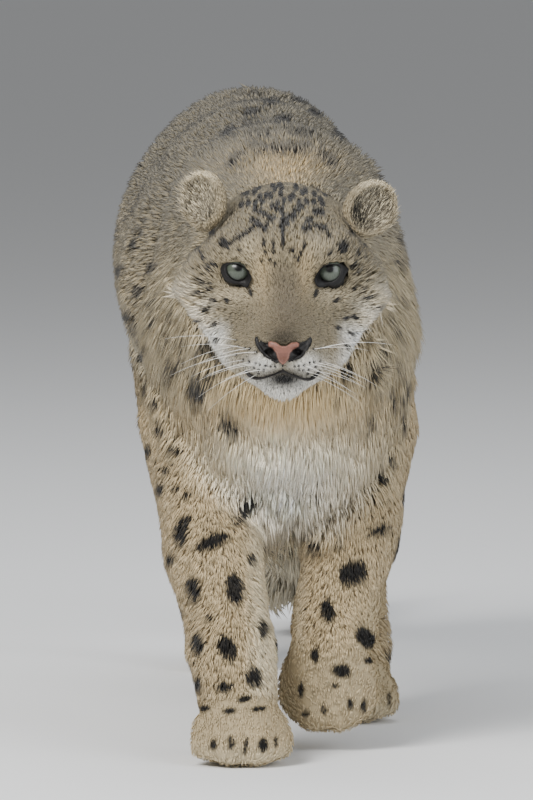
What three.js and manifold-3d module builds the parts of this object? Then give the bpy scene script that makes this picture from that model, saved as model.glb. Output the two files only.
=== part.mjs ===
// A snow leopard walking towards the viewer, life size, as a still museum model.
// Millimetres, +Z up. The animal faces -Y, so its right side is at -X. Its body is built as soft
// masses, one list for each region. Each region starts as a capsule whose vertices are drawn out
// along straight rays until they meet the surface of those masses, and the body is then parted
// into named pieces by thin cuts.
import * as THREE from 'three';
import { mergeVertices } from 'three/addons/utils/BufferGeometryUtils.js';
import Module from 'manifold-3d';

const wasm = await Module();
wasm.setup();
const { degToRad, lerp, clamp, smoothstep } = THREE.MathUtils;

// Driving dimensions. The middle of the chest is at X = 0 and the shoulder joints at Y = 0.
const GAP = 0.3; // clearance between neighbouring pieces
const WITHERS = 616; // top of the shoulders, through the coat
const RUMP = 634; // top of the hips, through the coat
const SHOULDER_Z = 420; // height of the shoulder joints
const HIP_Z = 470; // height of the hip joints
const TRUNK = 550; // shoulder joints to hip joints
const HIPS_X = -30; // the hips swing this far off the line of the shoulders
const SHOULDER_HALF = 76; // shoulder joint to the middle plane
const HIP_HALF = 64; // hip joint to the middle plane
const EYE_HALF = 43.5; // half the distance between the eyes
const EYE_R = 16; // eyeball
const EYE_BACK = -9; // eyeball's middle behind the point between the eyes
const EYES_AT = [2.5, -252, 482]; // midpoint between the eyeballs
const HEAD_PITCH = degToRad(19); // muzzle carried below the level
const HEAD_ROLL = degToRad(0.8); // left side a little lower
const EAR = { half: 27, high: 30, deep: 16, wall: 5 }; // a cup of these half sizes
const PAW_HALF = 56; // half the width of a forepaw
const PAW_LENGTH = 120; // heel pad to toe tips
const HIND_PAW_SCALE = 0.92; // hind paw against forepaw
const TAIL_R = 50; // tail through its coat, at its middle

const at = (x, y, z) => new THREE.Vector3(x, y, z);
const UP = at(0, 0, 1);
const AHEAD = at(0, -1, 0);

// Materials: seen colour and how dull each is
const COAT = { color: 0xa89f8e, roughness: 0.95 };
const PALE_COAT = { color: 0xcfc3ac, roughness: 0.95 };
const IRIS = { color: 0x9aa39a, roughness: 0.12 };
const NOSE_SKIN = { color: 0xb4796a, roughness: 0.5 };
const material = (look) => new THREE.MeshStandardMaterial({ metalness: 0, ...look });

// A soft mass: a round bar from one point to another, with a radius at each end, made wider
// across the body by `wide`.
const mass = (from, to, r0, r1 = r0, wide = 1) => ({ from, to, r0, r1, wide });

const scratch = { p: at(0, 0, 0), ab: at(0, 0, 0) };
function depthIn(point, { from, to, r0, r1, wide }) {
  const { p, ab } = scratch;
  ab.copy(to).sub(from);
  p.copy(point).sub(from);
  ab.x /= wide;
  p.x /= wide;
  const length2 = ab.lengthSq();
  const t = length2 > 0 ? clamp(p.dot(ab) / length2, 0, 1) : 0;
  return p.addScaledVector(ab, -t).length() - lerp(r0, r1, t);
}

const softMin = (a, b, blend) => {
  const h = Math.max(blend - Math.abs(a - b), 0) / blend;
  return Math.min(a, b) - (h * h * blend) / 4;
};

// The surface of a list of masses blended over `blend`, less the hollows, is where this is zero.
function fieldOf(masses, blend, hollows = [], hollowBlend = 6) {
  return (point) => {
    let d = depthIn(point, masses[0]);
    for (const m of masses.slice(1)) d = softMin(d, depthIn(point, m), blend);
    for (const h of hollows) d = -softMin(-d, depthIn(point, h), hollowBlend);
    return d;
  };
}

const blended = (a, b, blend) => (point) => softMin(a(point), b(point), blend);

// The same thing on the animal's left, at +X, and on its right
const pair = (make) => [1, -1].map(make);

// Closed meshes
function closed(geometry) {
  const bare = new THREE.BufferGeometry().setAttribute('position', geometry.getAttribute('position'));
  bare.setIndex(geometry.index);
  const joined = mergeVertices(bare, 1e-4);
  const corners = joined.index.array;
  const faces = [];
  for (let i = 0; i < corners.length; i += 3) {
    const [a, b, c] = corners.slice(i, i + 3);
    if (a !== b && b !== c && c !== a) faces.push(a, b, c);
  }
  joined.setIndex(faces);
  return joined;
}

function solidOf(geometry, matrix = null) {
  const mesh = closed(geometry);
  if (matrix) mesh.applyMatrix4(matrix);
  return new wasm.Manifold(
    new wasm.Mesh({
      numProp: 3,
      vertProperties: mesh.getAttribute('position').array,
      triVerts: new Uint32Array(mesh.index.array),
    }),
  );
}

const largest = (solid) =>
  solid.decompose().reduce((best, piece) => (piece.volume() > best.volume() ? piece : best));

function geometryOf(solid) {
  const { numProp, vertProperties, triVerts } = solid.getMesh();
  const count = vertProperties.length / numProp;
  const places = new Float32Array(count * 3);
  for (let i = 0; i < count; i++) {
    places.set(vertProperties.subarray(i * numProp, i * numProp + 3), i * 3);
  }
  const geometry = new THREE.BufferGeometry()
    .setAttribute('position', new THREE.BufferAttribute(places, 3))
    .setIndex(new THREE.BufferAttribute(triVerts, 1));
  geometry.computeVertexNormals();
  return geometry;
}

// How far a ray runs from inside the masses to their surface
function reachOf(field, start, ray, grow = 0) {
  const probe = at(0, 0, 0);
  const isInside = (distance) => field(probe.copy(start).addScaledVector(ray, distance)) < grow;
  let [inner, outer] = [0, 4];
  while (isInside(outer) && outer < 400) [inner, outer] = [outer, outer + 4];
  for (let step = 0; step < 13; step++) {
    const middle = (inner + outer) / 2;
    if (isInside(middle)) inner = middle;
    else outer = middle;
  }
  return Math.max(outer, 1);
}

// Draws a capsule's vertices out from a path to the surface of the masses. `around` and `along`
// are its faces round and along the path, `cap` those over each end, and `grow` leaves the
// surface that far outside the masses.
function drawOut(path, field, { around, along, cap, reference = UP, grow = 0 }) {
  const capsule = closed(new THREE.CapsuleGeometry(1, along, cap, around, along));
  const places = capsule.getAttribute('position');
  const [offset, side, over, ray] = Array.from({ length: 4 }, () => at(0, 0, 0));
  for (let i = 0; i < places.count; i++) {
    offset.fromBufferAttribute(places, i);
    const level = clamp(offset.y, -along / 2, along / 2);
    offset.y -= level;
    const t = clamp(level / along + 0.5, 0, 1);
    const start = path.getPointAt(t);
    const tangent = path.getTangentAt(t);
    side.crossVectors(tangent, reference).normalize();
    over.crossVectors(side, tangent);
    ray.set(0, 0, 0);
    ray.addScaledVector(side, offset.x).addScaledVector(tangent, offset.y).addScaledVector(over, offset.z);
    ray.normalize();
    start.addScaledVector(ray, reachOf(field, start, ray, grow));
    places.setXYZ(i, start.x, start.y, start.z);
  }
  return capsule;
}

const curve = (...points) => new THREE.CatmullRomCurve3(points, false, 'centripetal');

// A lock of hair: a flat, three-sided blade whose root is sunk, that rises, bends over and tapers
const LOCK = { faces: 3, flat: 0.3, sink: 9, back: 0.22, over: 0.4, curl: 0.09 };
function lockOn(foot, normal, lie, { length, width, rise, droop = 0, steps = 3 }) {
  const blade = closed(new THREE.CylinderGeometry(1, 1, 1, LOCK.faces, steps).translate(0, 0.5, 0));
  const along = lie.clone().addScaledVector(normal, -lie.dot(normal)).normalize();
  const end = foot.clone().addScaledVector(along, length);
  end.addScaledVector(normal, rise * 0.5 - length * LOCK.curl).addScaledVector(UP, -droop);
  const bend = new THREE.QuadraticBezierCurve3(
    foot.clone().addScaledVector(normal, -LOCK.sink).addScaledVector(along, -LOCK.back * length),
    foot.clone().addScaledVector(along, LOCK.over * length).addScaledVector(normal, rise * 1.5),
    end,
  );
  const side = at(0, 0, 0).crossVectors(along, normal);
  const places = blade.getAttribute('position');
  for (let i = 0; i < places.count; i++) {
    const h = places.getY(i);
    const w = width * 0.5 * (Math.sqrt(1 - h) * (0.8 + 0.5 * h) + 0.1);
    const point = bend.getPoint(h).addScaledVector(side, places.getX(i) * w * 1.15);
    point.addScaledVector(normal, places.getZ(i) * w * LOCK.flat * 2);
    places.setXYZ(i, point.x, point.y, point.z);
  }
  return blade;
}

// The same draws each time
let seed = 3;
function draw(low, high) {
  seed = (seed * 1664525 + 1013904223) % 4294967296;
  return low + ((high - low) * seed) / 4294967296;
}

// A coat of locks over the side of a path that the angles span, laid along `lie`. Angles run
// round the path from its reference side. Each lock's length, width and place vary a little.
function locksOver(path, field, coat) {
  const { rows, t: [t0, t1], around, angles: [a0, a1], reference = UP, core, lie } = coat;
  const locks = [];
  const [side, over, ray] = [at(0, 0, 0), at(0, 0, 0), at(0, 0, 0)];
  for (let row = 0; row < rows; row++) {
    for (let k = 0; k < around; k++) {
      const t = clamp(lerp(t0, t1, (row + draw(0.3, 0.7)) / rows), 0, 1);
      const angle = lerp(a0, a1, (k + (row % 2 ? 0.75 : 0.25) + draw(-0.15, 0.15)) / around);
      const start = path.getPointAt(t);
      const tangent = path.getTangentAt(t);
      side.crossVectors(tangent, reference).normalize();
      over.crossVectors(side, tangent);
      ray.set(0, 0, 0).addScaledVector(over, Math.cos(angle)).addScaledVector(side, Math.sin(angle));
      const foot = start.addScaledVector(ray, reachOf(field, start, ray, -core));
      const slope = (axis) =>
        field(foot.clone().addScaledVector(axis, 1)) - field(foot.clone().addScaledVector(axis, -1));
      const normal = at(slope(at(1, 0, 0)), slope(at(0, 1, 0)), slope(UP)).normalize();
      const size = draw(0.85, 1.15);
      locks.push(
        lockOn(foot, normal, lie(foot, tangent), {
          length: coat.length * size,
          width: coat.width * size,
          rise: core,
          droop: coat.droop,
          steps: coat.steps,
        }),
      );
    }
  }
  return locks;
}
const fused = (core, locks) => wasm.Manifold.union([core, ...locks.map((lock) => solidOf(lock))]);

// A block that holds all on one side of a plane: the side its normal points to
function halfSpace(point, normal, size = 1800) {
  const turn = new THREE.Quaternion().setFromUnitVectors(UP, normal.clone().normalize());
  const matrix = new THREE.Matrix4().compose(point, turn, at(1, 1, 1));
  return solidOf(new THREE.BoxGeometry(size, size, size).translate(0, 0, size / 2), matrix);
}

// What lies before a plane and what lies beyond it, with half the gap on each side, and each
// of them with the whole gap: `clear` is before and `room` is beyond
function partAt(point, normal) {
  const n = normal.clone().normalize();
  const near = point.clone().addScaledVector(n, -GAP / 2);
  return {
    beyond: halfSpace(point.clone().addScaledVector(n, GAP / 2), n),
    before: halfSpace(near, n.clone().negate()),
    room: halfSpace(near, n),
    clear: halfSpace(point.clone().addScaledVector(n, GAP / 2), n.clone().negate()),
  };
}

// Pose: the joints of each leg from the top down. The paws' places are the middles of their soles.
const LEGS = {
  fore_right: {
    side: -1,
    root: at(-SHOULDER_HALF, -6, SHOULDER_Z),
    bend: at(-88, 34, 308),
    shaft: at(-66, -48, 190),
    ankle: at(-46, -122, 96),
    paw: at(-40, -164, 0),
    pawTurn: 3,
    pawHang: 0,
  },
  fore_left: {
    side: 1,
    root: at(SHOULDER_HALF, -6, SHOULDER_Z),
    bend: at(84, 52, 306),
    shaft: at(70, 12, 212),
    ankle: at(54, -28, 122),
    paw: at(50, -38, 66),
    pawTurn: -6,
    pawHang: 52,
  },
  hind_right: {
    side: -1,
    root: at(HIPS_X - HIP_HALF, TRUNK, HIP_Z),
    bend: at(-100, TRUNK - 46, 318),
    hock: at(-74, TRUNK + 150, 172),
    ankle: at(-62, TRUNK + 128, 74),
    paw: at(-58, TRUNK + 118, 0),
    pawTurn: 3,
    pawHang: 0,
  },
  hind_left: {
    side: 1,
    root: at(HIPS_X + HIP_HALF, TRUNK, HIP_Z),
    bend: at(64, TRUNK - 176, 322),
    hock: at(72, TRUNK - 214, 158),
    ankle: at(75, TRUNK - 296, 76),
    paw: at(76, TRUNK - 350, 0),
    pawTurn: -4,
    pawHang: 0,
  },
};

// Trunk: spine, ribs, belly, chest, shoulders and haunches
const spineX = (y) => HIPS_X * smoothstep(y, 0, TRUNK);
const inward = (joint, inside, y, z) => joint.clone().add(at(-inside, y, z));
const haunch = ({ side, root, bend }) => [
  mass(inward(root, side * 6, 6, 6), inward(bend, side * 8, 10, 16), 90, 60, 0.9),
  mass(inward(root, side * 12, 62, -30), inward(bend, side * 8, 70, 16), 62, 42, 0.9),
];
const trunkMasses = [
  mass(at(-3, 30, WITHERS - 88), at(spineX(300) - 4, 300, WITHERS - 96), 84, 96),
  mass(at(spineX(300), 300, WITHERS - 96), at(spineX(520), 520, RUMP - 108), 96, 108, 1.04),
  mass(at(-6, -20, 430), at(spineX(230) - 13, 230, 436), 104, 126, 0.94),
  mass(at(spineX(260) - 18, 260, 438), at(spineX(490) - 6, 490, 446), 129, 135, 1.05),
  mass(at(0, 140, 352), at(spineX(430), 430, 366), 82, 96, 1.12),
  mass(at(2, -64, 388), at(4, -34, 300), 92, 76, 1.08), // front of the chest
  mass(at(4, -34, 286), at(0, 120, 306), 76, 78, 1.02), // brisket
  ...pair((side) => mass(at(side * 56, 48, 536), at(side * SHOULDER_HALF, -6, SHOULDER_Z), 54, 55)),
  ...pair((side) => mass(at(side * SHOULDER_HALF, -6, SHOULDER_Z), at(side * 84, 44, 320), 55, 50)),
  ...haunch(LEGS.hind_right),
  ...haunch(LEGS.hind_left),
];
const neckMasses = [
  mass(at(0, -176, 478), at(0, -10, 500), 76, 98, 1.14), // nape
  mass(at(0, -136, 412), at(0, -34, 384), 70, 92, 1.22), // throat
];
const torsoField = fieldOf([...trunkMasses, ...neckMasses], 40);
const torsoPath = curve(
  at(0, -60, 410),
  at(0, 120, 430),
  at(spineX(330), 330, 440),
  at(HIPS_X, TRUNK + 20, 466),
);
const torsoShape = { around: 24, along: 12, cap: 3 };
const neckPath = curve(at(0, -215, 470), at(0, -120, 460), at(0, -20, 430));

// Limbs above the paw, each a chain of bars along its joints
const LIMBS = {
  fore: {
    partsAt: 0.62,
    masses: ({ root, bend, shaft, ankle }) => [
      mass(root, bend, 54, 50),
      mass(bend, shaft, 51, 47, 1.02),
      mass(shaft, ankle, 47, 41, 1.02),
      mass(at(bend.x, bend.y + 22, bend.z + 12), at(shaft.x, shaft.y + 34, shaft.z + 40), 34, 28),
    ],
    route: ({ root, bend, shaft, ankle }, heel) => curve(root, bend, shaft, ankle, heel),
    scale: 1,
    ankleR: 42,
  },
  hind: {
    partsAt: 0.5,
    masses: ({ root, bend, hock, ankle }) => [
      mass(root, bend, 76, 56, 0.9),
      mass(bend, hock, 60, 37),
      mass(at(bend.x, bend.y + 52, bend.z - 6), hock.clone().lerp(bend, 0.35).add(at(0, 10, 0)), 44, 32),
      mass(hock, ankle, 35, 35, 1.08),
    ],
    route: ({ root, bend, hock, ankle }, heel) =>
      curve(root, bend.clone().add(at(0, 24, 0)), hock, ankle, heel),
    scale: HIND_PAW_SCALE,
    ankleR: 37,
  },
};

// Paws, in a frame of their own: forward is -Y and the sole is at zero
const TOES = [
  { x: -0.66, reach: 0.3, r: 0.34 },
  { x: -0.24, reach: 0.44, r: 0.38 },
  { x: 0.24, reach: 0.44, r: 0.38 },
  { x: 0.66, reach: 0.3, r: 0.34 },
];
const pawMasses = [
  mass(at(0, 20, 56), at(0, -4, 38), 34, 36, 1.12),
  mass(at(0, 24, 21), at(0, -4, 20), 28, 30, 1.3),
  ...TOES.map(({ x, reach, r }) =>
    mass(
      at(x * PAW_HALF * 0.86, -PAW_LENGTH * (reach - 0.2), 34),
      at(x * PAW_HALF, -PAW_LENGTH * reach, 17),
      r * PAW_HALF,
      r * PAW_HALF * 0.93,
    ),
  ),
];
const pawPath = curve(at(0, 20, 36), at(0, -14, 26), at(0, -34, 23));
const HEEL_AT = at(0, 10, 40);
const WRIST_AT = at(0, 4, 66);
const WRIST_LIE = at(0, 0.25, 1);

// Tail: a long brush that hangs from the rump and lifts again towards its tip
const tailPath = curve(
  at(HIPS_X, TRUNK + 60, 530),
  at(HIPS_X + 2, TRUNK + 150, 470),
  at(HIPS_X + 14, TRUNK + 214, 360),
  at(HIPS_X + 30, TRUNK + 264, 236),
  at(HIPS_X + 46, TRUNK + 330, 128),
  at(HIPS_X + 54, TRUNK + 430, 72),
  at(HIPS_X + 50, TRUNK + 540, 94),
  at(HIPS_X + 40, TRUNK + 628, 160),
);
const tailThick = (t) => TAIL_R * (0.86 + 0.24 * Math.sin(Math.PI * Math.min(t * 1.15, 1)) - 0.12 * t);
const TAIL_SPANS = 12;
const tailMasses = Array.from({ length: TAIL_SPANS }, (_, i) => {
  const [t0, t1] = [i / TAIL_SPANS, (i + 1) / TAIL_SPANS];
  return mass(tailPath.getPointAt(t0), tailPath.getPointAt(t1), tailThick(t0), tailThick(t1));
});
const TAIL_PARTS = [0.36, 0.68]; // where the tail is divided

// Head, in a frame of its own: the midpoint of the eyes is the origin, the muzzle points to -Y
const headFrame = new THREE.Matrix4().compose(
  at(...EYES_AT),
  new THREE.Quaternion().setFromEuler(new THREE.Euler(HEAD_PITCH, HEAD_ROLL, 0)),
  at(1, 1, 1),
);
const toHead = headFrame.clone().invert();
const headMasses = [
  mass(at(0, 50, -2), at(0, 92, -8), 58, 62, 1.2), // braincase
  mass(at(0, 8, 6), at(0, 30, 6), 44, 50, 1.26), // forehead
  mass(at(0, -8, -6), at(0, -54, -32), 26, 17, 1.15), // bridge of the nose
  mass(at(0, -4, -46), at(0, -40, -50), 38, 28, 1.2), // muzzle
  mass(at(0, -38, -96), at(0, -8, -88), 21, 34, 1.2), // chin
  mass(at(0, 0, -72), at(0, 50, -52), 46, 58, 1.25), // throat of the jaw
  ...pair((side) => mass(at(side * 17, -52, -57), at(side * 26, -30, -56), 22, 27)), // whisker pads
  ...pair((side) => mass(at(side * 30, -6, 18), at(side * 50, 12, 14), 19, 24)), // brow
  ...pair((side) => mass(at(side * 40, -8, -32), at(side * 56, 12, -22), 24, 36)), // cheekbone
  ...pair((side) => mass(at(side * 38, 2, -66), at(side * 60, 40, -34), 32, 43)), // jaw and ruff
];
const eyeHollows = pair((side) =>
  mass(at(side * (EYE_HALF + 1), -34, 2), at(side * (EYE_HALF + 14), -42, 3), 14, 16),
);
const headField = fieldOf(headMasses, 16, eyeHollows, 10);
const headOnNeck = (point) => headField(point.clone().applyMatrix4(toHead));
const headPath = curve(at(0, 104, -14), at(0, 40, -12), at(0, 0, -30), at(0, -26, -46));
const headShape = { around: 46, along: 9, cap: 9 };
const NAPE_AT = at(0, 84, -20); // where head and neck part
const NAPE_LIE = at(0, 1, -0.3);

// The point of the face straight behind a place seen from its front
const FACE_FROM = -160;
function onFace(x, z) {
  const point = at(x, FACE_FROM, z);
  while (headField(point) > 0.05 && point.y < 60) point.y += Math.max(headField(point) * 0.7, 0.05);
  return point;
}

// A groove of round section along a line on the face
function groove(places, radius, steps) {
  const section = new THREE.Shape().absarc(0, 0, radius, 0, Math.PI * 2);
  const along = curve(...places.map(([x, z]) => onFace(x, z)));
  const shape = { steps, curveSegments: 6, bevelEnabled: false, extrudePath: along };
  return solidOf(new THREE.ExtrudeGeometry(section, shape));
}
const MOUTH = [[-43, -84], [-33, -89], [-18, -84], [0, -75], [18, -84], [33, -89], [43, -84]];
const PHILTRUM = [[0, -58], [0, -66], [0, -76]];

const roundSolid = (middle, [x, y, z], turn = [0, 0, 0], faces = [18, 12]) =>
  solidOf(
    new THREE.SphereGeometry(1, ...faces),
    new THREE.Matrix4().compose(
      middle,
      new THREE.Quaternion().setFromEuler(new THREE.Euler(...turn)),
      at(x, y, z),
    ),
  );

// Lids: an almond ring round each eye, its outer corner higher
const LID = { half: 15, high: 0.82, tube: 3, slant: degToRad(12), turn: degToRad(24) };
const lidOf = (side) =>
  solidOf(
    new THREE.TorusGeometry(LID.half, LID.tube, 5, 20).scale(1, LID.high, 1.5),
    new THREE.Matrix4().compose(
      at(side * (EYE_HALF + 0.5), EYE_BACK - 11, 3),
      new THREE.Quaternion().setFromEuler(
        new THREE.Euler(Math.PI / 2, -side * LID.slant, side * LID.turn, 'ZYX'),
      ),
      at(1, 1, 1),
    ),
  );

// Ears: each a cup, hollowed from its front, on a face that meets the head
const EARS = {
  right: { place: at(-77, 60, 46), turn: [degToRad(-14), degToRad(-20), degToRad(-40)] },
  left: { place: at(82, 58, 41), turn: [degToRad(-14), degToRad(38), degToRad(8)] },
};
function earOf({ place, turn }) {
  const { half, high, deep, wall } = EAR;
  const outer = roundSolid(at(0, 0, 0), [half, deep, high], [0, 0, 0], [14, 9]);
  const hollow = roundSolid(at(0, -9, 2), [half - wall, deep, high - wall], [0, 0, 0], [14, 9]);
  const frame = new THREE.Matrix4().compose(
    place,
    new THREE.Quaternion().setFromEuler(new THREE.Euler(...turn, 'ZYX')),
    at(1, 1, 1),
  );
  return outer.subtract(hollow).transform(headFrame.clone().multiply(frame).elements);
}

const floor = halfSpace(at(0, 0, 0), UP, 4000);

// Head and what it carries
const nodes = {};
const intoPlace = (solid) => solid.transform(headFrame.elements);
const nape = partAt(NAPE_AT.clone().applyMatrix4(headFrame), NAPE_LIE.clone().transformDirection(headFrame));
const [faceSolid, faceRoom] = [0, 2 * GAP].map((grow) =>
  solidOf(drawOut(headPath, headField, { ...headShape, grow })),
);
const nostrils = pair((side) =>
  roundSolid(at(side * 14, -78, -53), [3.2, 9, 7.5], [0, -side * 0.75, 0], [10, 8]),
);
const eyes = pair((side) => at(side * EYE_HALF, EYE_BACK, 3));
const RUFF_COAT = {
  rows: 2, t: [0.2, 0.6], around: 3, core: 0, length: 52, width: 42,
};
const ruff = pair((side) =>
  locksOver(headPath, headField, {
    ...RUFF_COAT,
    angles: [side * degToRad(85), side * degToRad(165)],
    lie: () => at(side * 0.25, 1, -0.75),
  }),
);
let face = fused(faceSolid, ruff.flat());
for (const lid of pair(lidOf)) face = face.add(lid);
for (const eye of eyes) face = face.subtract(roundSolid(eye, Array(3).fill(EYE_R + GAP), [0, 0, 0], [14, 9]));
for (const nostril of nostrils) face = face.subtract(nostril);
face = face.subtract(groove(MOUTH, 2.4, 18)).subtract(groove(PHILTRUM, 1.5, 5));
nodes.head = intoPlace(face).intersect(nape.before);
let nose = roundSolid(at(0, -68, -50), [20, 12, 12.5], [-0.2, 0, 0], [14, 8]).subtract(faceRoom);
for (const nostril of nostrils) nose = nose.subtract(nostril);
nodes.nose = intoPlace(nose);
nodes.eye_left = intoPlace(roundSolid(eyes[0], Array(3).fill(EYE_R), [0, 0, 0], [14, 9]));
nodes.eye_right = intoPlace(roundSolid(eyes[1], Array(3).fill(EYE_R), [0, 0, 0], [14, 9]));
for (const [name, ear] of Object.entries(EARS)) {
  nodes[`ear_${name}`] = earOf(ear).subtract(intoPlace(faceRoom));
}

// Neck and torso. The chest, throat and belly carry long locks over a thinner core.
const DOWN_BACK = at(0, 0.55, -1);
const CHEST_COAT = {
  rows: 3, t: [0, 0.28], around: 5, angles: [degToRad(110), degToRad(250)], core: 0, length: 80, width: 62,
  droop: 14, lie: () => DOWN_BACK,
};
const BELLY_COAT = {
  rows: 4, t: [0.34, 0.8], around: 3, angles: [degToRad(135), degToRad(225)], core: 0, length: 96, width: 74,
  droop: 20, lie: () => at(0, 1, -0.25),
};
const THROAT_COAT = {
  rows: 2, t: [0.25, 0.75], around: 6, angles: [degToRad(80), degToRad(280)], core: 0, length: 64, width: 54,
  droop: 8, lie: () => at(0, 0.8, -0.9),
};
const collar = partAt(at(0, -62, 440), at(0, -1, 0.32));
const neckField = blended(torsoField, headOnNeck, 14);
const neckShape = { around: 24, along: 6, cap: 3 };
const [neckSolid, neckRoom] = [0, 2 * GAP].map((grow) =>
  solidOf(drawOut(neckPath, neckField, { ...neckShape, grow })),
);
const [torsoSolid, torsoRoom] = [0, 2 * GAP].map((grow) =>
  solidOf(drawOut(torsoPath, torsoField, { ...torsoShape, grow })),
);
const neckCore = neckSolid.intersect(nape.beyond).intersect(collar.beyond);
nodes.neck = fused(neckCore, locksOver(neckPath, neckField, THROAT_COAT))
  .intersect(nape.beyond)
  .subtract(torsoRoom.intersect(collar.clear));
nodes.head = nodes.head.subtract(neckRoom.intersect(nape.room));
nodes.torso = fused(torsoSolid, [
  ...locksOver(torsoPath, torsoField, CHEST_COAT),
  ...locksOver(torsoPath, torsoField, BELLY_COAT),
]).intersect(collar.before);

// Legs: each parts from the torso at a plane that slopes up to its outer side, and ends in a paw
const pawShape = drawOut(pawPath, fieldOf(pawMasses, 7), { around: 20, along: 4, cap: 4 });
for (const [name, leg] of Object.entries(LEGS)) {
  const limb = LIMBS[name.split('_')[0]];
  const turn = new THREE.Euler(degToRad(leg.pawHang), 0, degToRad(leg.pawTurn), 'ZXY');
  const pawFrame = new THREE.Matrix4().compose(
    leg.paw,
    new THREE.Quaternion().setFromEuler(turn),
    at(1, 1, 1).multiplyScalar(limb.scale),
  );
  const heel = HEEL_AT.clone().applyMatrix4(pawFrame);
  const field = fieldOf([...limb.masses(leg), mass(leg.ankle, heel, limb.ankleR, limb.ankleR - 4)], 22);
  const [whole, room] = [0, 2 * GAP].map((grow) =>
    solidOf(drawOut(limb.route(leg, heel), field, { around: 13, along: 12, cap: 3, reference: AHEAD, grow })),
  );
  const away = partAt(leg.root.clone().lerp(leg.bend, limb.partsAt), at(leg.side * 0.45, 0, -1));
  nodes.torso = nodes.torso.add(whole.intersect(away.before)).subtract(room.intersect(away.room));
  const wrist = partAt(
    WRIST_AT.clone().applyMatrix4(pawFrame),
    WRIST_LIE.clone().transformDirection(pawFrame),
  );
  const below = whole.intersect(away.beyond);
  nodes[`leg_${name}`] = below.intersect(wrist.beyond);
  nodes[`paw_${name}`] = solidOf(pawShape, pawFrame).add(below).intersect(wrist.before).intersect(floor);
}

// Tail, divided into lengths
const tailField = fieldOf(tailMasses, 8);
const TAIL_COAT = {
  rows: 8, t: [0.02, 0.93], around: 4, angles: [0, Math.PI * 2], core: 15, length: 108, width: 62, steps: 2,
  lie: (_, tangent) => tangent,
};
const tail = fused(
  solidOf(drawOut(tailPath, tailField, { around: 10, along: 24, cap: 3, grow: -TAIL_COAT.core })),
  locksOver(tailPath, tailField, TAIL_COAT),
).subtract(torsoRoom).intersect(floor);
const tailCuts = TAIL_PARTS.map((t) => partAt(tailPath.getPointAt(t), tailPath.getTangentAt(t)));
nodes.tail_base = tail.intersect(tailCuts[0].before);
nodes.tail_middle = tail.intersect(tailCuts[0].beyond).intersect(tailCuts[1].before);
nodes.tail_tip = tail.intersect(tailCuts[0].beyond).intersect(tailCuts[1].beyond);

// The group's origin is under the middle of the whole, on the floor
const looks = { eye: IRIS, nose: NOSE_SKIN, paw: PALE_COAT };
const pieces = Object.entries(nodes).map(([name, solid]) => {
  const piece = new THREE.Mesh(geometryOf(largest(solid)), material(looks[name.split('_')[0]] ?? COAT));
  piece.name = name;
  return piece;
});
const animal = new THREE.Group().add(...pieces);
const middle = new THREE.Box3().setFromObject(animal).getCenter(at(0, 0, 0));
for (const { geometry } of pieces) geometry.translate(-middle.x, -middle.y, 0);

export default animal;
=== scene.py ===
import math

import bmesh
import bpy
import numpy as np
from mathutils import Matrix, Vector
from mathutils.bvhtree import BVHTree
from mathutils.kdtree import KDTree


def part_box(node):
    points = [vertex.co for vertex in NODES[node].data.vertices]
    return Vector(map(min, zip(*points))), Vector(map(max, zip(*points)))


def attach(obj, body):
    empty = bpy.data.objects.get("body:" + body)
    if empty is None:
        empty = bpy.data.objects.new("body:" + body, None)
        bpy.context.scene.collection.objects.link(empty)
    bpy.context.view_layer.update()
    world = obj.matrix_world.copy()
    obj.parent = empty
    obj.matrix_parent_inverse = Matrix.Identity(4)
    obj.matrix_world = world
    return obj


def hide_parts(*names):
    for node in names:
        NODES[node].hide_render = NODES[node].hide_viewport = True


bl_info = {
    "name": "Snow leopard",
    "version": (1, 0, 0),
    "blender": (4, 5, 0),
    "location": "3D view > Sidebar > Snow leopard",
    "description": "A walking snow leopard with its skin, coat, eyes, nose, ears and whiskers",
    "category": "Object",
}

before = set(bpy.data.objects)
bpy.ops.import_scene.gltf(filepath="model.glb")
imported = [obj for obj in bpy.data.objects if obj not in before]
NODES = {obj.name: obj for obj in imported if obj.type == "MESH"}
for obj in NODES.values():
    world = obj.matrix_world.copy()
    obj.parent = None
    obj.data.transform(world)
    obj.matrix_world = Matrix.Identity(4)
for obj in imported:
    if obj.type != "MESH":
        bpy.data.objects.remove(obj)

FLESH = [
    "head", "neck", "torso", "leg_fore_right", "leg_fore_left", "leg_hind_right", "leg_hind_left",
    "paw_fore_right", "paw_fore_left", "paw_hind_right", "paw_hind_left",
    "tail_base", "tail_middle", "tail_tip",
]
REGION = {name: place for place, name in enumerate(FLESH)}
HEAD, NECK, TORSO = REGION["head"], REGION["neck"], REGION["torso"]
LEGS = [REGION[name] for name in FLESH if name.startswith("leg")]
FORE_LEGS = [REGION["leg_fore_right"], REGION["leg_fore_left"]]
PAWS = [REGION[name] for name in FLESH if name.startswith("paw")]
TAIL = [REGION[name] for name in FLESH if name.startswith("tail")]


def middle_of(node):
    low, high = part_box(node)
    return (Vector(low) + Vector(high)) / 2


EYE_MIDDLES = {side: middle_of("eye_" + side) for side in ("right", "left")}
EYES = (EYE_MIDDLES["right"] + EYE_MIDDLES["left"]) / 2
EYE_R = 0.0158  # radius of an eyeball
CORNEA_RISE, CORNEA_EDGE = 0.0011, 46  # how far the clear front stands out, and where it ends in degrees
NOSE_AT = EYES + Vector((0.0, -0.055, -0.056))
MM = 0.001

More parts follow.
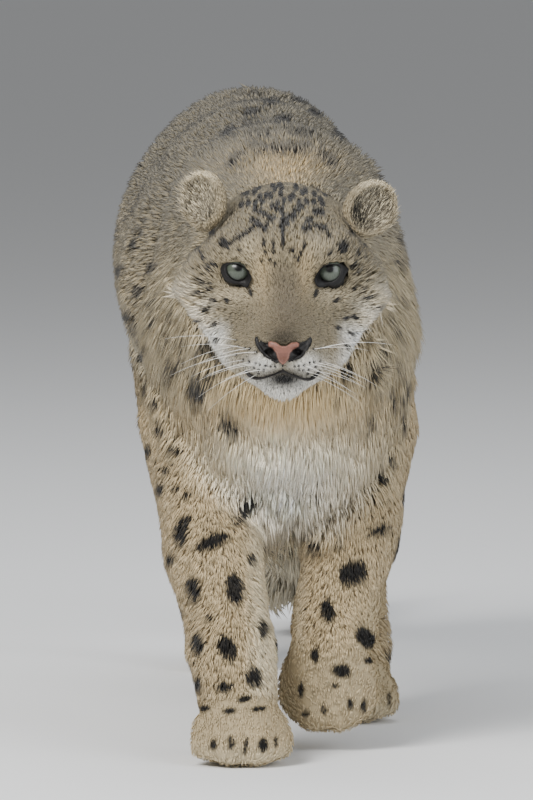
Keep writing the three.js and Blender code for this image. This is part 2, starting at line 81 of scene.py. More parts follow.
# The photo's view: the marks of the coat and the face are placed by it, in pixels of the photo
VIEW_TILT = math.radians(4.4)
VIEW_AWAY = 8.0
VIEW_PIXELS = 8320.0  # length of the lens
VIEW_CENTRE = (266.5, 400.0)
VIEW_HEIGHT = 800.0
CENTRE_ABOVE_FOOT = 370 / 1040  # in pixels, and the pixels of a metre at the planted paw
FOOT_ASIDE = 0.024
FACE_COLUMN = 283  # where the middle of the face falls
LEGS_PART = 290  # the column between the forelegs
PAW_LOW, PAW_HIGH = (Vector(corner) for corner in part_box("paw_fore_right"))
FOOT = Vector(((PAW_LOW.x + PAW_HIGH.x) / 2 + FOOT_ASIDE, PAW_LOW.y, 0.0))
AHEAD = Vector((0.0, math.cos(VIEW_TILT), -math.sin(VIEW_TILT)))
ABOVE = Vector((0.0, math.sin(VIEW_TILT), math.cos(VIEW_TILT)))
EYE_POINT = FOOT + ABOVE * CENTRE_ABOVE_FOOT - AHEAD * VIEW_AWAY
AHEAD_ROW, ABOVE_ROW, EYES_ROW, NOSE_ROW = (np.array(v) for v in (AHEAD, ABOVE, EYES, NOSE_AT))

# Tail: its middle line from the rump to the tip
TAIL_LINE = np.array([
    (-0.012, 0.166, 0.530), (-0.010, 0.256, 0.470), (0.002, 0.320, 0.360), (0.018, 0.370, 0.236),
    (0.034, 0.436, 0.128), (0.042, 0.536, 0.072), (0.038, 0.646, 0.094), (0.028, 0.734, 0.160),
])


# Colours are written as the screen shows them, from 0 to 1
def linear(colour):
    c = np.asarray(colour, dtype=float)
    return np.where(c <= 0.04045, c / 12.92, ((c + 0.055) / 1.055) ** 2.4)


GREY_BACK = linear((0.49, 0.46, 0.39))
BUFF_SIDE = linear((0.67, 0.615, 0.50))
NECK_SIDE = linear((0.76, 0.70, 0.57))
BUFF_LEG = linear((0.79, 0.71, 0.56))
BUFF_PAW = linear((0.78, 0.71, 0.57))
THROAT = linear((0.90, 0.785, 0.57))
CREAM = linear((0.965, 0.91, 0.78))
WHITE = linear((1.0, 0.985, 0.945))
FOREHEAD = linear((0.575, 0.53, 0.43))
BRIDGE = linear((0.44, 0.40, 0.33))
CHEEK = linear((0.86, 0.80, 0.675))
DARK = linear((0.085, 0.075, 0.065))
GREY_MARK = linear((0.27, 0.25, 0.215))
EAR_INSIDE = linear((0.62, 0.585, 0.51))
EAR_RIM = linear((0.70, 0.645, 0.53))
EAR_BEHIND = linear((0.20, 0.185, 0.165))
EAR_PATCH = linear((0.66, 0.62, 0.55))


def smoothstep(value, low, high):
    t = np.clip((value - low) / (high - low), 0.0, 1.0)
    return t * t * (3 - 2 * t)


def mix(a, b, amount):
    return a + (b - a) * np.asarray(amount)[..., None]


def waves(points, size, turn=0.0):
    """A smooth uneven value about zero, that changes over lengths near size."""
    p = np.asarray(points) / size
    x, y, z = p[:, 0], p[:, 1], p[:, 2]
    first = np.sin(x * 2.1 + 1.3 * np.sin(y * 1.7 + turn) + turn)
    second = np.sin(y * 2.3 + 1.1 * np.sin(z * 1.9 - turn) + 2.0 * turn)
    third = np.sin(z * 2.5 + 1.2 * np.sin(x * 1.5 + turn) - turn)
    return (first + second + third) / 3


def unit(vectors):
    return vectors / np.maximum(np.linalg.norm(vectors, axis=1, keepdims=True), 1e-9)


def along_skin(vectors, normals):
    """The part of each vector that lies along the skin."""
    return vectors - normals * np.sum(vectors * normals, axis=1, keepdims=True)


def filled(colour, count):
    return np.tile(colour, (count, 1))


def blob(x, y, at, size, power=2):
    """One at a place, fading to zero round it."""
    return np.exp(-(((x - at[0]) / size[0]) ** power) - ((y - at[1]) / size[1]) ** power)


def inset(places):
    """Places on a map from 0 to 1, kept off its edges."""
    return places * 0.98 + 0.01


def to_photo(points):
    """Where points in the frame fall in the photo, in pixels, and how far they are from the view."""
    away = np.asarray(points) - np.array(EYE_POINT)
    depth = away @ AHEAD_ROW
    x = VIEW_CENTRE[0] + VIEW_PIXELS * away[:, 0] / depth
    y = VIEW_CENTRE[1] - VIEW_PIXELS * (away @ ABOVE_ROW) / depth
    return x, y, depth


def ray_of(x, y):
    """The direction in which the view looks through a pixel."""
    across = Vector((1.0, 0.0, 0.0)) * ((x - VIEW_CENTRE[0]) / VIEW_PIXELS)
    return (AHEAD + across + ABOVE * ((VIEW_CENTRE[1] - y) / VIEW_PIXELS)).normalized()


def at_depth(x, y, depth):
    """The point that a pixel shows at a depth from the view."""
    ray = ray_of(x, y)
    return EYE_POINT + ray * (depth / ray.dot(AHEAD))


def onto(tree, x, y, lift=0.0):
    """The first point of a surface that the photo's pixel (x, y) shows, lifted towards the view."""
    ray = ray_of(x, y)
    hit = tree.ray_cast(EYE_POINT, ray)[0]
    if hit is None:
        hit = at_depth(x, y, (EYES - EYE_POINT).dot(AHEAD))
    return hit - ray * lift


# Marks of the coat, each (x, y, width, height, turn in degrees) in the photo's pixels
NECK_MARKS = [
    (197, 394, 21, 28, 10), (168, 374, 11, 20, 20), (178, 367, 12, 9, 0), (228, 427, 26, 15, -40),
    (348, 371, 13, 19, -40), (153, 404, 8, 14, 10), (158, 431, 10, 15, 0), (174, 450, 15, 10, -30),
    (161, 344, 11, 9, 0), (180, 341, 12, 7, 20), (141, 358, 8, 12, 0), (143, 393, 8, 16, 0),
    (159, 491, 9, 13, 0), (175, 490, 8, 7, 0), (186, 497, 9, 7, 0), (245, 514, 7, 36, -42),
    (394, 404, 9, 14, 0),
    (371, 425, 8, 17, -30), (377, 387, 9, 12, -20), (379, 502, 22, 5, 15), (385, 352, 9, 14, -10),
    (402, 372, 8, 13, 0), (404, 428, 7, 13, 0), (392, 461, 9, 13, 0), (336, 396, 8, 11, -40),
    (147, 452, 7, 12, 0), (150, 325, 10, 9, 0), (131, 378, 7, 12, 0), (170, 318, 10, 7, 15),
    (396, 330, 8, 14, 0), (384, 480, 10, 8, 20), (166, 470, 8, 8, 0), (118, 272, 9, 14, 0),
    (137, 292, 10, 16, 0), (124, 318, 9, 13, 0), (152, 304, 10, 14, 0), (116, 342, 7, 12, 0),
    (150, 268, 9, 12, 0), (133, 246, 9, 12, 0), (402, 300, 6, 13, 0), (399, 262, 6, 12, 0),
]
FORE_RIGHT_MARKS = [
    (180, 535, 14, 25, 0), (213, 542, 37, 15, 22), (193, 590, 16, 25, 15), (235, 589, 20, 31, 8),
    (197, 645, 14, 23, 0), (227, 649, 18, 31, 25), (264, 628, 10, 18, 0), (254, 678, 18, 21, 20),
    (224, 688, 17, 10, 0), (197, 687, 10, 15, 0), (244, 699, 15, 7, 10), (205, 709, 13, 7, 0),
    (229, 711, 14, 7, 0), (259, 709, 16, 6, 10), (231, 744, 7, 15, 10), (263, 745, 10, 15, 0),
    (213, 745, 6, 11, 0), (246, 746, 4, 20, -10), (170, 560, 9, 13, 0), (252, 560, 9, 11, 0),
    (178, 618, 9, 13, 0), (209, 618, 8, 9, 0), (186, 520, 12, 9, 0), (276, 742, 5, 12, 0),
]
FORE_LEFT_MARKS = [
    (379, 531, 27, 10, 15), (353, 574, 32, 24, 20), (328, 611, 15, 23, 15), (315, 655, 9, 15, 0),
    (366, 638, 17, 25, 40), (386, 618, 7, 16, 0), (341, 671, 20, 14, 0), (369, 661, 11, 7, 0),
    (335, 687, 9, 6, 0), (315, 548, 14, 16, 0), (301, 690, 5, 16, 0), (306, 714, 7, 8, 0),
    (364, 706, 6, 15, 0), (397, 560, 8, 15, 0), (340, 545, 11, 9, 0), (392, 668, 9, 11, 0),
    (350, 705, 6, 12, 0), (324, 710, 6, 11, 0),
]
HIND_LEFT_MARKS = [
    (389, 699, 4, 16, 0), (403, 611, 9, 13, 0), (404, 578, 9, 13, 0), (400, 645, 9, 12, 0),
]
FACE_MARKS = [
    (223.5, 243, 10, 13, 20), (228, 246, 3, 8, 0), (236, 239, 3, 18, -50), (251, 229, 4, 15, -50),
    (260, 226, 9, 4, 0), (264, 230, 4, 7, 0), (343, 247, 12, 14, 0), (309, 228, 4, 8, -45),
    (316, 225.6, 9, 4, 0), (323, 228, 4, 8, 50), (329, 234, 4, 9, 30),
    (264, 243, 5, 10, 0), (273, 243, 4, 8, 0), (265, 252, 4, 6, 0), (273, 251, 4, 6, 0),
    (262, 261, 3, 4, 0), (270, 260, 3, 5, -30), (275, 264, 3, 4, 0), (304, 244.5, 5, 9, 0),
    (293, 249, 4, 5, 0), (289.5, 250, 4, 4, 0), (301, 253.4, 5, 5, 0), (295, 257, 3, 4, 0),
    (298.5, 259, 3, 5, 0), (283, 226, 4, 50, 0), (207, 267, 8, 9, 0), (201, 282, 7, 6, 0),
    (209, 283, 5, 4, 0), (209, 289, 6, 4, 0), (198, 293, 8, 5, 0), (190, 296.5, 5, 6, 0),
    (206, 310.5, 10, 6, 20), (195, 322, 8, 5, 0), (214, 324.5, 8, 5, 30), (216, 341, 6, 4, 0),
    (359, 252, 5, 6, 0), (355.4, 263.5, 4, 6, 0), (358, 270.5, 5, 6, 0), (355, 288, 4, 7, -30),
    (365, 290, 5, 6, 0), (367, 298.5, 6, 5, 0), (373.6, 296.5, 5, 5, 0), (380.6, 308, 6, 7, 0),
    (356, 317, 9, 5, -20), (346, 318, 6, 4, 0), (338.5, 328, 7, 4, -20), (353, 334, 8, 4, -20),
    (366, 333, 6, 5, 0), (348, 347, 6, 4, 0), (226, 300, 9, 3, -35), (337, 300, 10, 3, 30),
    (250, 292, 3, 10, 20), (316, 293, 3, 10, -20), (213, 300, 7, 3, 0),
    (202, 256, 6, 8, 10), (196, 246, 7, 8, 0), (214, 264, 10, 5, -20), (353, 266, 10, 5, 25),
    (241, 235.5, 5, 20, -55), (321, 226, 14, 5, 0), (212, 232, 8, 6, 30), (352, 232, 8, 6, -30),
    (366, 243, 6, 8, 0), (240, 250, 6, 4, -40), (330, 252, 6, 4, 35),
]
WHISKER_SPOTS = [
    (236, 340), (238, 346), (244.5, 348), (249.5, 348.4), (256, 352), (236, 355), (243, 360),
    (249, 362), (255.3, 363.5), (259.5, 364.5), (265.6, 366), (271, 366.5), (275, 366.5), (258.6, 370),
    (263.6, 370), (258.4, 373.6), (253.6, 368), (314, 349), (321, 348), (326, 347), (320.5, 361),
    (314.8, 362.5), (310, 363.3), (304.2, 365.2), (298.6, 366.3), (294.6, 366.5), (299, 370), (303.5, 370.4),
    (309, 370), (308, 374), (316, 367),
]
LEAST_MARK = 4.6  # smaller marks are lost between the tufts
FACE_MARKS = [(x, y, max(w, LEAST_MARK), max(h, LEAST_MARK), turn) for x, y, w, h, turn in FACE_MARKS]
FACE_MARKS += [(x, y, 3.0, 2.6, 0) for x, y in WHISKER_SPOTS]
# Rows of spots on the crown: the height of each row in the photo and how many spots it has
CROWN_ROWS = [(222, 8), (214, 11), (206, 12), (198, 12), (190, 11), (182, 9), (174, 8)]
CROWN_STEP = 7.4
for row, (height, count) in enumerate(CROWN_ROWS):
    for k in range(count):
        offset = (k - (count - 1) / 2) * CROWN_STEP + (row % 2) * 3.4
        sway = 2.6 * math.sin(k * 2.3 + row * 1.7)
        FACE_MARKS.append((FACE_COLUMN + offset + sway, height + 2.2 * sway, 5.5, 8.0, offset * 0.6))
# Streaks across the nape and the back, which the view meets at a slant
LINE_MARKS = [(x, y, w * 1.15, h * 1.4, turn) for x, y, w, h, turn in [
    (281, 148, 60, 6, 0), (236, 160, 22, 5, 40), (327, 158, 22, 5, -40), (262, 133, 30, 4, 10),
    (300, 131, 30, 4, -8), (283, 118, 18, 5, 0), (250, 112, 16, 5, 15), (316, 112, 16, 5, -15),
    (228, 131, 16, 6, 30), (340, 133, 14, 6, -35), (270, 101, 16, 5, 0), (299, 99, 15, 5, 0),
]]

# Outlines of the face in the photo's pixels, and the mouth's lines as (x, y, radius in millimetres)
EYE_RIMS = {
    "right": [
        (220.3, 268.4), (223.9, 263.8), (230.5, 262.8), (239.7, 263.8), (245.8, 267.9), (250.9, 276.5),
        (250.4, 281.6), (246.8, 287.8), (240.7, 285.2), (232.6, 284.2), (225.4, 280.6), (221.8, 274.5),
    ],
    "left": [
        (348.9, 268.9), (342.8, 265.0), (337.7, 264.0), (328.5, 264.2), (321.3, 267.9), (317.2, 273.5),
        (314.7, 280.6), (318.3, 287.2), (327.4, 286.7), (336.6, 284.2), (342.8, 279.6), (345.8, 274.5),
    ],
}
EYE_OPENINGS = {
    "right": [
        (225.7, 266.8), (229.0, 264.5), (234.0, 263.9), (239.5, 264.8), (244.6, 268.2), (247.6, 273.5),
        (247.3, 277.0), (243.8, 280.6), (238.7, 281.9), (233.0, 280.5), (228.4, 277.0), (225.9, 272.0),
    ],
    "left": [
        (340.6, 267.6), (337.4, 265.6), (332.5, 265.1), (327.0, 265.8), (322.4, 268.5), (319.6, 272.6),
        (319.4, 276.8), (322.2, 280.8), (327.2, 282.7), (333.4, 281.8), (338.2, 278.0), (340.5, 272.6),
    ],
}
NOSE_PAD = [
    (268.7, 342.5), (271.3, 341.4), (276.7, 343.0), (281.9, 346.8), (285.9, 346.5), (290.5, 343.2),
    (296.3, 342.2), (299.0, 343.9), (298.2, 346.7), (292.8, 349.3), (289.6, 353.1), (288.4, 357.9),
    (286.2, 361.9), (282.9, 364.4), (279.9, 361.9), (277.9, 357.9), (276.4, 352.6), (272.5, 348.2),
    (269.0, 346.2),
]
PAD_RISE, NOSTRIL_DEPTH = 2.0, 2.6  # in millimetres
NOSTRILS = [
    [(257.3, 336.9), (260.4, 340.3), (264.9, 345.8), (270.5, 347.4), (274.6, 350.3), (277.2, 354.4),
     (278.4, 358.4), (277.2, 361.0), (273.0, 358.6), (267.2, 354.2), (262.6, 350.0), (258.6, 343.9)],
    [(309.5, 337.0), (305.8, 340.9), (301.6, 345.0), (296.6, 347.4), (291.6, 350.3), (289.1, 354.4),
     (288.0, 358.4), (289.6, 360.4), (294.4, 357.8), (300.2, 354.3), (304.9, 348.9), (308.9, 342.0)],
]
MOUTH_LINES = [
    [(283.0, 363.5, 0.9), (282.6, 367.0, 0.9), (282.8, 371.0, 1.5)],
    [(282.8, 371.0, 1.5), (279.0, 372.8, 1.1), (274.4, 374.6, 0.9), (265.8, 377.4, 1.0), (258.9, 378.8, 1.2),
     (254.0, 378.2, 1.7), (249.6, 375.0, 2.3), (245.0, 371.2, 1.3)],
    [(282.8, 371.0, 1.5), (286.0, 372.6, 1.1), (290.0, 374.4, 0.9), (297.4, 377.2, 1.0), (303.5, 379.3, 1.1),
     (310.2, 379.8, 1.4), (315.0, 376.2, 2.0), (320.2, 371.2, 1.1)],
]


class Surface:
    """The skin's points, faces and what is known at each point."""

    def __init__(self, mesh):
        count = len(mesh.vertices)
        self.points = np.empty(count * 3)
        mesh.vertices.foreach_get("co", self.points)
        self.points = self.points.reshape(-1, 3)
        mesh.calc_loop_triangles()
        self.faces = np.empty(len(mesh.loop_triangles) * 3, dtype=np.int64)
        mesh.loop_triangles.foreach_get("vertices", self.faces)
        self.faces = self.faces.reshape(-1, 3)
        self.edges = np.empty(len(mesh.edges) * 2, dtype=np.int64)
        mesh.edges.foreach_get("vertices", self.edges)
        self.edges = self.edges.reshape(-1, 2)
        self.degree = np.bincount(self.edges.ravel(), minlength=count).astype(float)

    def around(self, values):
        """The mean of each point's neighbours."""
        a, b = self.edges[:, 0], self.edges[:, 1]
        columns = values.reshape(len(values), -1)
        out = np.empty_like(columns)
        for k in range(columns.shape[1]):
            total = np.bincount(a, columns[b, k], len(columns)) + np.bincount(b, columns[a, k], len(columns))
            out[:, k] = total / np.maximum(self.degree, 1)
        return out.reshape(values.shape)

    def eased(self, values, rounds, weight=0.6):
        values = values.astype(float)
        for _ in range(rounds):
            values = values + (self.around(values) - values) * weight
        return values

    def crossed(self, faces):
        """The normals of faces, each as long as twice the face's area."""
        p = self.points[faces]
        return np.cross(p[:, 1] - p[:, 0], p[:, 2] - p[:, 0])

    def normals(self):
        flat = self.crossed(self.faces)
        total = np.zeros_like(self.points)
        for k in range(3):
            for axis in range(3):
                total[:, axis] += np.bincount(self.faces[:, k], flat[:, axis], len(self.points))
        return unit(total)

    def write_to(self, mesh):
        mesh.vertices.foreach_set("co", self.points.ravel())
        mesh.update()


def flesh_tree(names):
    """One search tree over CAD nodes, and which node each of its faces belongs to."""
    corners, faces, owners = [], [], []
    for name in names:
        mesh = NODES[name].data
        start = len(corners)
        place = NODES[name].matrix_world
        corners += [place @ v.co for v in mesh.vertices]
        faces += [[start + k for k in p.vertices] for p in mesh.polygons]
        owners += [names.index(name)] * len(mesh.polygons)
    return BVHTree.FromPolygons(corners, faces), np.array(owners)


def new_object(name, mesh):
    shape = bpy.data.objects.new(name, mesh)
    bpy.context.scene.collection.objects.link(shape)
    return shape


def mesh_from(bm, name):
    mesh = bpy.data.meshes.new(name)
    bm.to_mesh(mesh)
    bm.free()
    return mesh


def joined_copy(names, name):
    """A new object whose mesh is the merged copy of CAD nodes."""
    bm = bmesh.new()
    for node in names:
        copy = NODES[node].data.copy()
        copy.transform(NODES[node].matrix_world)
        bm.from_mesh(copy)
        bpy.data.meshes.remove(copy)
    bmesh.ops.remove_doubles(bm, verts=bm.verts, dist=1e-6)
    return new_object(name, mesh_from(bm, name))


def remeshed(shape, size):
    """The object's mesh with even faces of that size."""
    modifier = shape.modifiers.new("Even", "REMESH")
    modifier.mode = "VOXEL"
    modifier.voxel_size = size
    bpy.context.view_layer.update()
    graph = bpy.context.evaluated_depsgraph_get()
    even = bpy.data.meshes.new_from_object(shape.evaluated_get(graph))
    shape.modifiers.clear()
    old = shape.data
    shape.data = even
    bpy.data.meshes.remove(old)
    return even


def attribute_node(nodes, name):
    read = nodes.new("ShaderNodeAttribute")
    read.attribute_name = name
    return read


def noise_node(nodes, scale, detail):
    grain = nodes.new("ShaderNodeTexNoise")
    grain.inputs["Scale"].default_value = scale
    grain.inputs["Detail"].default_value = detail
    return grain


def shader(name, colour, roughness, attribute=None, coat=0.0, specular=0.35, sheen=0.0):
    """A material of one colour, or of a colour attribute."""
    made = bpy.data.materials.new(name)
    made.use_nodes = True
    nodes, links = made.node_tree.nodes, made.node_tree.links
    skin = nodes["Principled BSDF"]
    for label, value in (
        ("Base Color", (*[float(c) for c in colour], 1.0)),
        ("Roughness", roughness),
        ("Specular IOR Level", specular),
        ("Coat Weight", coat),
        ("Coat Roughness", 0.03),
        ("Sheen Weight", sheen),
    ):
        skin.inputs[label].default_value = value
    if attribute:
        links.new(attribute_node(nodes, attribute).outputs["Color"], skin.inputs["Base Color"])
    return made


def bumped(made, scale, strength, distance=0.0004):
    """The material with a fine grain on its surface."""
    nodes, links = made.node_tree.nodes, made.node_tree.links
    place = nodes.new("ShaderNodeTexCoord")
    grain = noise_node(nodes, scale, 4.0)
    bump = nodes.new("ShaderNodeBump")
    bump.inputs["Strength"].default_value = strength
    bump.inputs["Distance"].default_value = distance
    links.new(place.outputs["Object"], grain.inputs["Vector"])
    links.new(grain.outputs["Fac"], bump.inputs["Height"])
    links.new(bump.outputs["Normal"], nodes["Principled BSDF"].inputs["Normal"])
    return made


def paint(mesh, colours, name="coat"):
    """A colour for each point of a mesh."""
    layer = mesh.color_attributes.new(name, "FLOAT_COLOR", "POINT")
    full = np.ones((len(colours), 4))
    full[:, :3] = colours
    layer.data.foreach_set("color", full.ravel())


def smooth_shade(mesh):
    mesh.polygons.foreach_set("use_smooth", [True] * len(mesh.polygons))


# The coat on each part: how far the skin lies inside the solid, a tuft's length and its radius, how many
# rounds even out the solid's facets, and how high a tuft stands. All but the rounds are in millimetres
COAT_KINDS = {
    "head": (3.0, 11.0, 0.50, 3, 3.0),
    "neck": (14.0, 27.0, 0.72, 28, 14.0),
    "torso": (13.0, 28.0, 0.85, 28, 13.0),
    "leg": (5.2, 15.0, 0.62, 11, 5.2),
    "paw": (2.6, 7.5, 0.46, 3, 2.6),
    "tail": (5.0, 46.0, 1.10, 75, 20.0),
}
SKIN = {}  # what the skin's operator leaves for the coat's and the ears'
EVEN_ROUNDS = 30
DRAW_STEPS = 3
BATCH = 40000  # points worked out together
LEAST_RING = 17  # smaller marks are filled, larger ones are broken rings
# Each tuft is darkened towards its root, partly for the darker underfur and partly as painted shade among
# the hairs; the skin under the coat is darkened the same way
ROOT_SHADE, MIDDLE_SHADE, TIP_SHADE = 0.66, 0.96, 1.05  # tufts are darker at the root
FLOOR_GAP = 0.0004
EAR_FACE, EAR_FUR_DEPTH, EAR_TUFTS = 0.0016, 0.0006, 2600


def head_place(points):
    """Across, up and back from the eyes' midpoint as the photo shows them, in millimetres."""
    away = (np.asarray(points) - EYES_ROW) / MM
    return away[:, 0], away @ ABOVE_ROW, away @ AHEAD_ROW


def lie_of(points, regions):
    """The way the hairs point on each part."""
    count = len(points)
    x, y, z = points.T
    side = np.sign(x - EYES.x)
    lie = filled((0.0, 0.6, -0.8), count)
    head = regions == HEAD
    from_nose = unit(points - NOSE_ROW)
    from_nose[:, 2] += 0.25 * smoothstep(z, EYES.z - 0.01, EYES.z + 0.05)
    from_nose[:, 2] -= 0.55 * smoothstep(-z, -EYES.z + 0.02, -EYES.z + 0.07)
    from_nose[:, 1] += 0.5 * smoothstep(np.abs(x - EYES.x), 0.055, 0.08)
    lie[head] = from_nose[head]
    neck = regions == NECK
    top = smoothstep(z, 0.42, 0.54)
    front = np.stack([0.30 * (x - EYES.x) / 0.1, 0.35 + 0 * x, -0.95 + 0 * x], axis=1)
    nape = np.stack([0.35 * side * (1 - top), 1.0 + 0 * x, -0.25 + 0 * x], axis=1)
    lie[neck] = (front + (nape - front) * top[:, None])[neck]
    torso = regions == TORSO
    chest = smoothstep(-y, 0.30, 0.44) * (1 - top)
    flank = np.stack([0 * x, 1.0 + 0 * x, -0.55 + 0.35 * top], axis=1)
    lie[torso] = (flank + (front - flank) * chest[:, None])[torso]
    legs = np.isin(regions, LEGS)
    lie[legs] = (0.0, 0.22, -1.0)
    lie[np.isin(regions, PAWS)] = (0.0, -0.75, -0.65)
    tail = np.isin(regions, TAIL)
    lie[tail] = on_tail(points[tail])[1]
    return unit(lie)


def on_tail(points):
    """How far along the tail points are, from 0 to 1, and the tail's direction there."""
    starts, ends = TAIL_LINE[:-1], TAIL_LINE[1:]
    spans = ends - starts
    lengths = np.linalg.norm(spans, axis=1)
    before = np.concatenate([[0], np.cumsum(lengths)])
    if not len(points):
        return np.zeros(0), np.zeros((0, 3))
    part = np.einsum("pij,ij->pi", points[:, None] - starts[None], spans) / lengths**2
    part = np.clip(part, 0, 1)
    near = starts[None] + spans[None] * part[..., None]
    best = np.argmin(np.linalg.norm(points[:, None] - near, axis=2), axis=1)
    rows = np.arange(len(points))
    reach = (before[best] + part[rows, best] * lengths[best]) / before[-1]
    return reach, spans[best] / lengths[best][:, None]


def spots_in(x, y, marks, ragged):
    """How far inside the photo's marks pixels are: 1 in the middle and 0 outside."""
    inside = np.zeros(len(x))
    for mark_x, mark_y, width, height, turn in marks:
        c, s = math.cos(math.radians(turn)), math.sin(math.radians(turn))
        across = ((x - mark_x) * c - (y - mark_y) * s) / (width / 2)
        along = ((x - mark_x) * s + (y - mark_y) * c) / (height / 2)
        reach = np.sqrt(across**2 + along**2) + ragged
        inside = np.maximum(inside, 1 - smoothstep(reach, 0.86, 1.16))
    return inside


def rosettes(points, centres, sizes, ragged):
    """Broken rings and blotches about centres on the skin."""
    inside = np.zeros(len(points))
    core = np.zeros(len(points))
    for first in range(0, len(points), BATCH):
        part = slice(first, first + BATCH)
        away = points[part, None] - centres[None]
        reach = np.linalg.norm(away, axis=2) / sizes[None]
        best = np.argmin(reach, axis=1)
        rows = np.arange(len(best))
        near = reach[rows, best] + ragged[part]
        bend = away[rows, best] / sizes[best][:, None]
        gaps = np.sin(3.0 * np.arctan2(bend[:, 2], bend[:, 1] + 0.4 * bend[:, 0]) + best * 2.4)
        open_ring = sizes[best] > LEAST_RING * MM
        ring = smoothstep(near, 0.50, 0.64) * (1 - smoothstep(near, 0.92, 1.12))
        ring = ring * (1 - smoothstep(gaps, 0.72, 0.95))
        solid = 1 - smoothstep(near, 0.80, 1.12)
        inside[part] = np.where(open_ring, ring, solid)
        core[part] = np.where(open_ring, 1 - smoothstep(near, 0.4, 0.6), 0)
    return inside, core


def face_colour(points):
    """The face's ground colour, by places in millimetres from the eyes' midpoint."""
    x, up, back = head_place(points)
    wide = np.abs(x)
    bridge = np.exp(-((wide / 21) ** 2)) * smoothstep(-up, -20, 12) * (1 - smoothstep(-up, 62, 72))
    brow = blob(wide, up, (34, 24), (17, 12))
    beside_nose = blob(wide, up, (20, -6), (9, 26))
    nose_top = blob(wide, up, (0, -64), (15, 9))
    under_eye = blob(wide, up, (50, -22), (22, 9))
    pad = blob(wide, up, (21, -88), (15, 10))
    outer_pad = blob(wide, up, (44, -70), (10, 16))
    cheek = smoothstep(wide + 0.5 * -up, 72, 106) * smoothstep(-up, -4, 34)
    stripes = 0.5 + 0.5 * np.sin((up * 1.0 + wide * 0.55) / 5.2)
    low_cheek = smoothstep(-up, 40, 64) * smoothstep(wide, 46, 62)
    chin = smoothstep(-up, 99, 104) * (1 - smoothstep(wide, 38, 62))
    lip = smoothstep(-up, 92, 95) * blob(wide, up, (0, -103), (21, 9.5))
    colour = filled(FOREHEAD, len(points))
    for layer, amount in (
        (BUFF_SIDE, 0.6 * smoothstep(back, 60, 130)),
        (CHEEK, 0.35 * brow),
        (THROAT, 0.35 * beside_nose),
        (BRIDGE, 0.85 * bridge),
        (GREY_MARK, 0.6 * nose_top),
        (CHEEK, 0.5 * under_eye),
        (CHEEK, cheek),
        (WHITE, np.clip(0.35 * cheek * stripes + 0.85 * low_cheek, 0, 1)),
        (WHITE, np.clip(1.25 * pad, 0, 1) * 0.9),
        (BUFF_SIDE, 0.55 * outer_pad),
        (WHITE, chin),
        (DARK, np.clip(1.1 * lip, 0, 1)),
    ):
        colour = mix(colour, layer, amount)
    return colour


def body_colour(points, weights):
    """The coat's ground colour, before its spots."""
    count = len(points)
    x, y, z = points.T
    column, row, _ = to_photo(points)
    front = mix(filled(NECK_SIDE, count), THROAT, 0.85 * blob(column, row, (285, 418), (88, 42)))
    front = mix(front, CREAM, blob(column, row, (283, 488), (92, 52), 4))
    front = mix(front, WHITE, 0.8 * blob(column, row, (285, 500), (66, 48)))
    neck = mix(front, GREY_BACK, 0.85 * smoothstep(z, 0.44, 0.54))
    neck = mix(neck, THROAT, 0.75 * blob(column, row, (288, 166), (38, 17)))
    torso = mix(filled(CREAM, count), BUFF_SIDE, smoothstep(z, 0.27, 0.40))
    torso = mix(torso, GREY_BACK, smoothstep(z, 0.42, 0.56))
    chest = smoothstep(-y, 0.34, 0.46)
    torso = mix(torso, front, chest * (1 - smoothstep(z, 0.42, 0.5)))
    inner = smoothstep(-np.abs(x - 0.012), -0.035, -0.012)
    leg = mix(filled(BUFF_LEG, count), CREAM, 0.75 * inner)
    leg = mix(leg, GREY_BACK, 0.45 * smoothstep(y, -0.2, 0.0))
    paw = mix(filled(BUFF_PAW, count), CREAM, 0.5 * (1 - smoothstep(z, 0.004, 0.03)))
    tail = mix(filled(GREY_BACK, count), CREAM, 0.5 * (z < 0.1))
    layers = [face_colour(points), neck, torso] + [leg] * 4 + [paw] * 4 + [tail] * 3
    total = np.zeros((count, 3))
    for place, layer in enumerate(layers):
        total += layer * weights[:, place : place + 1]
    return total


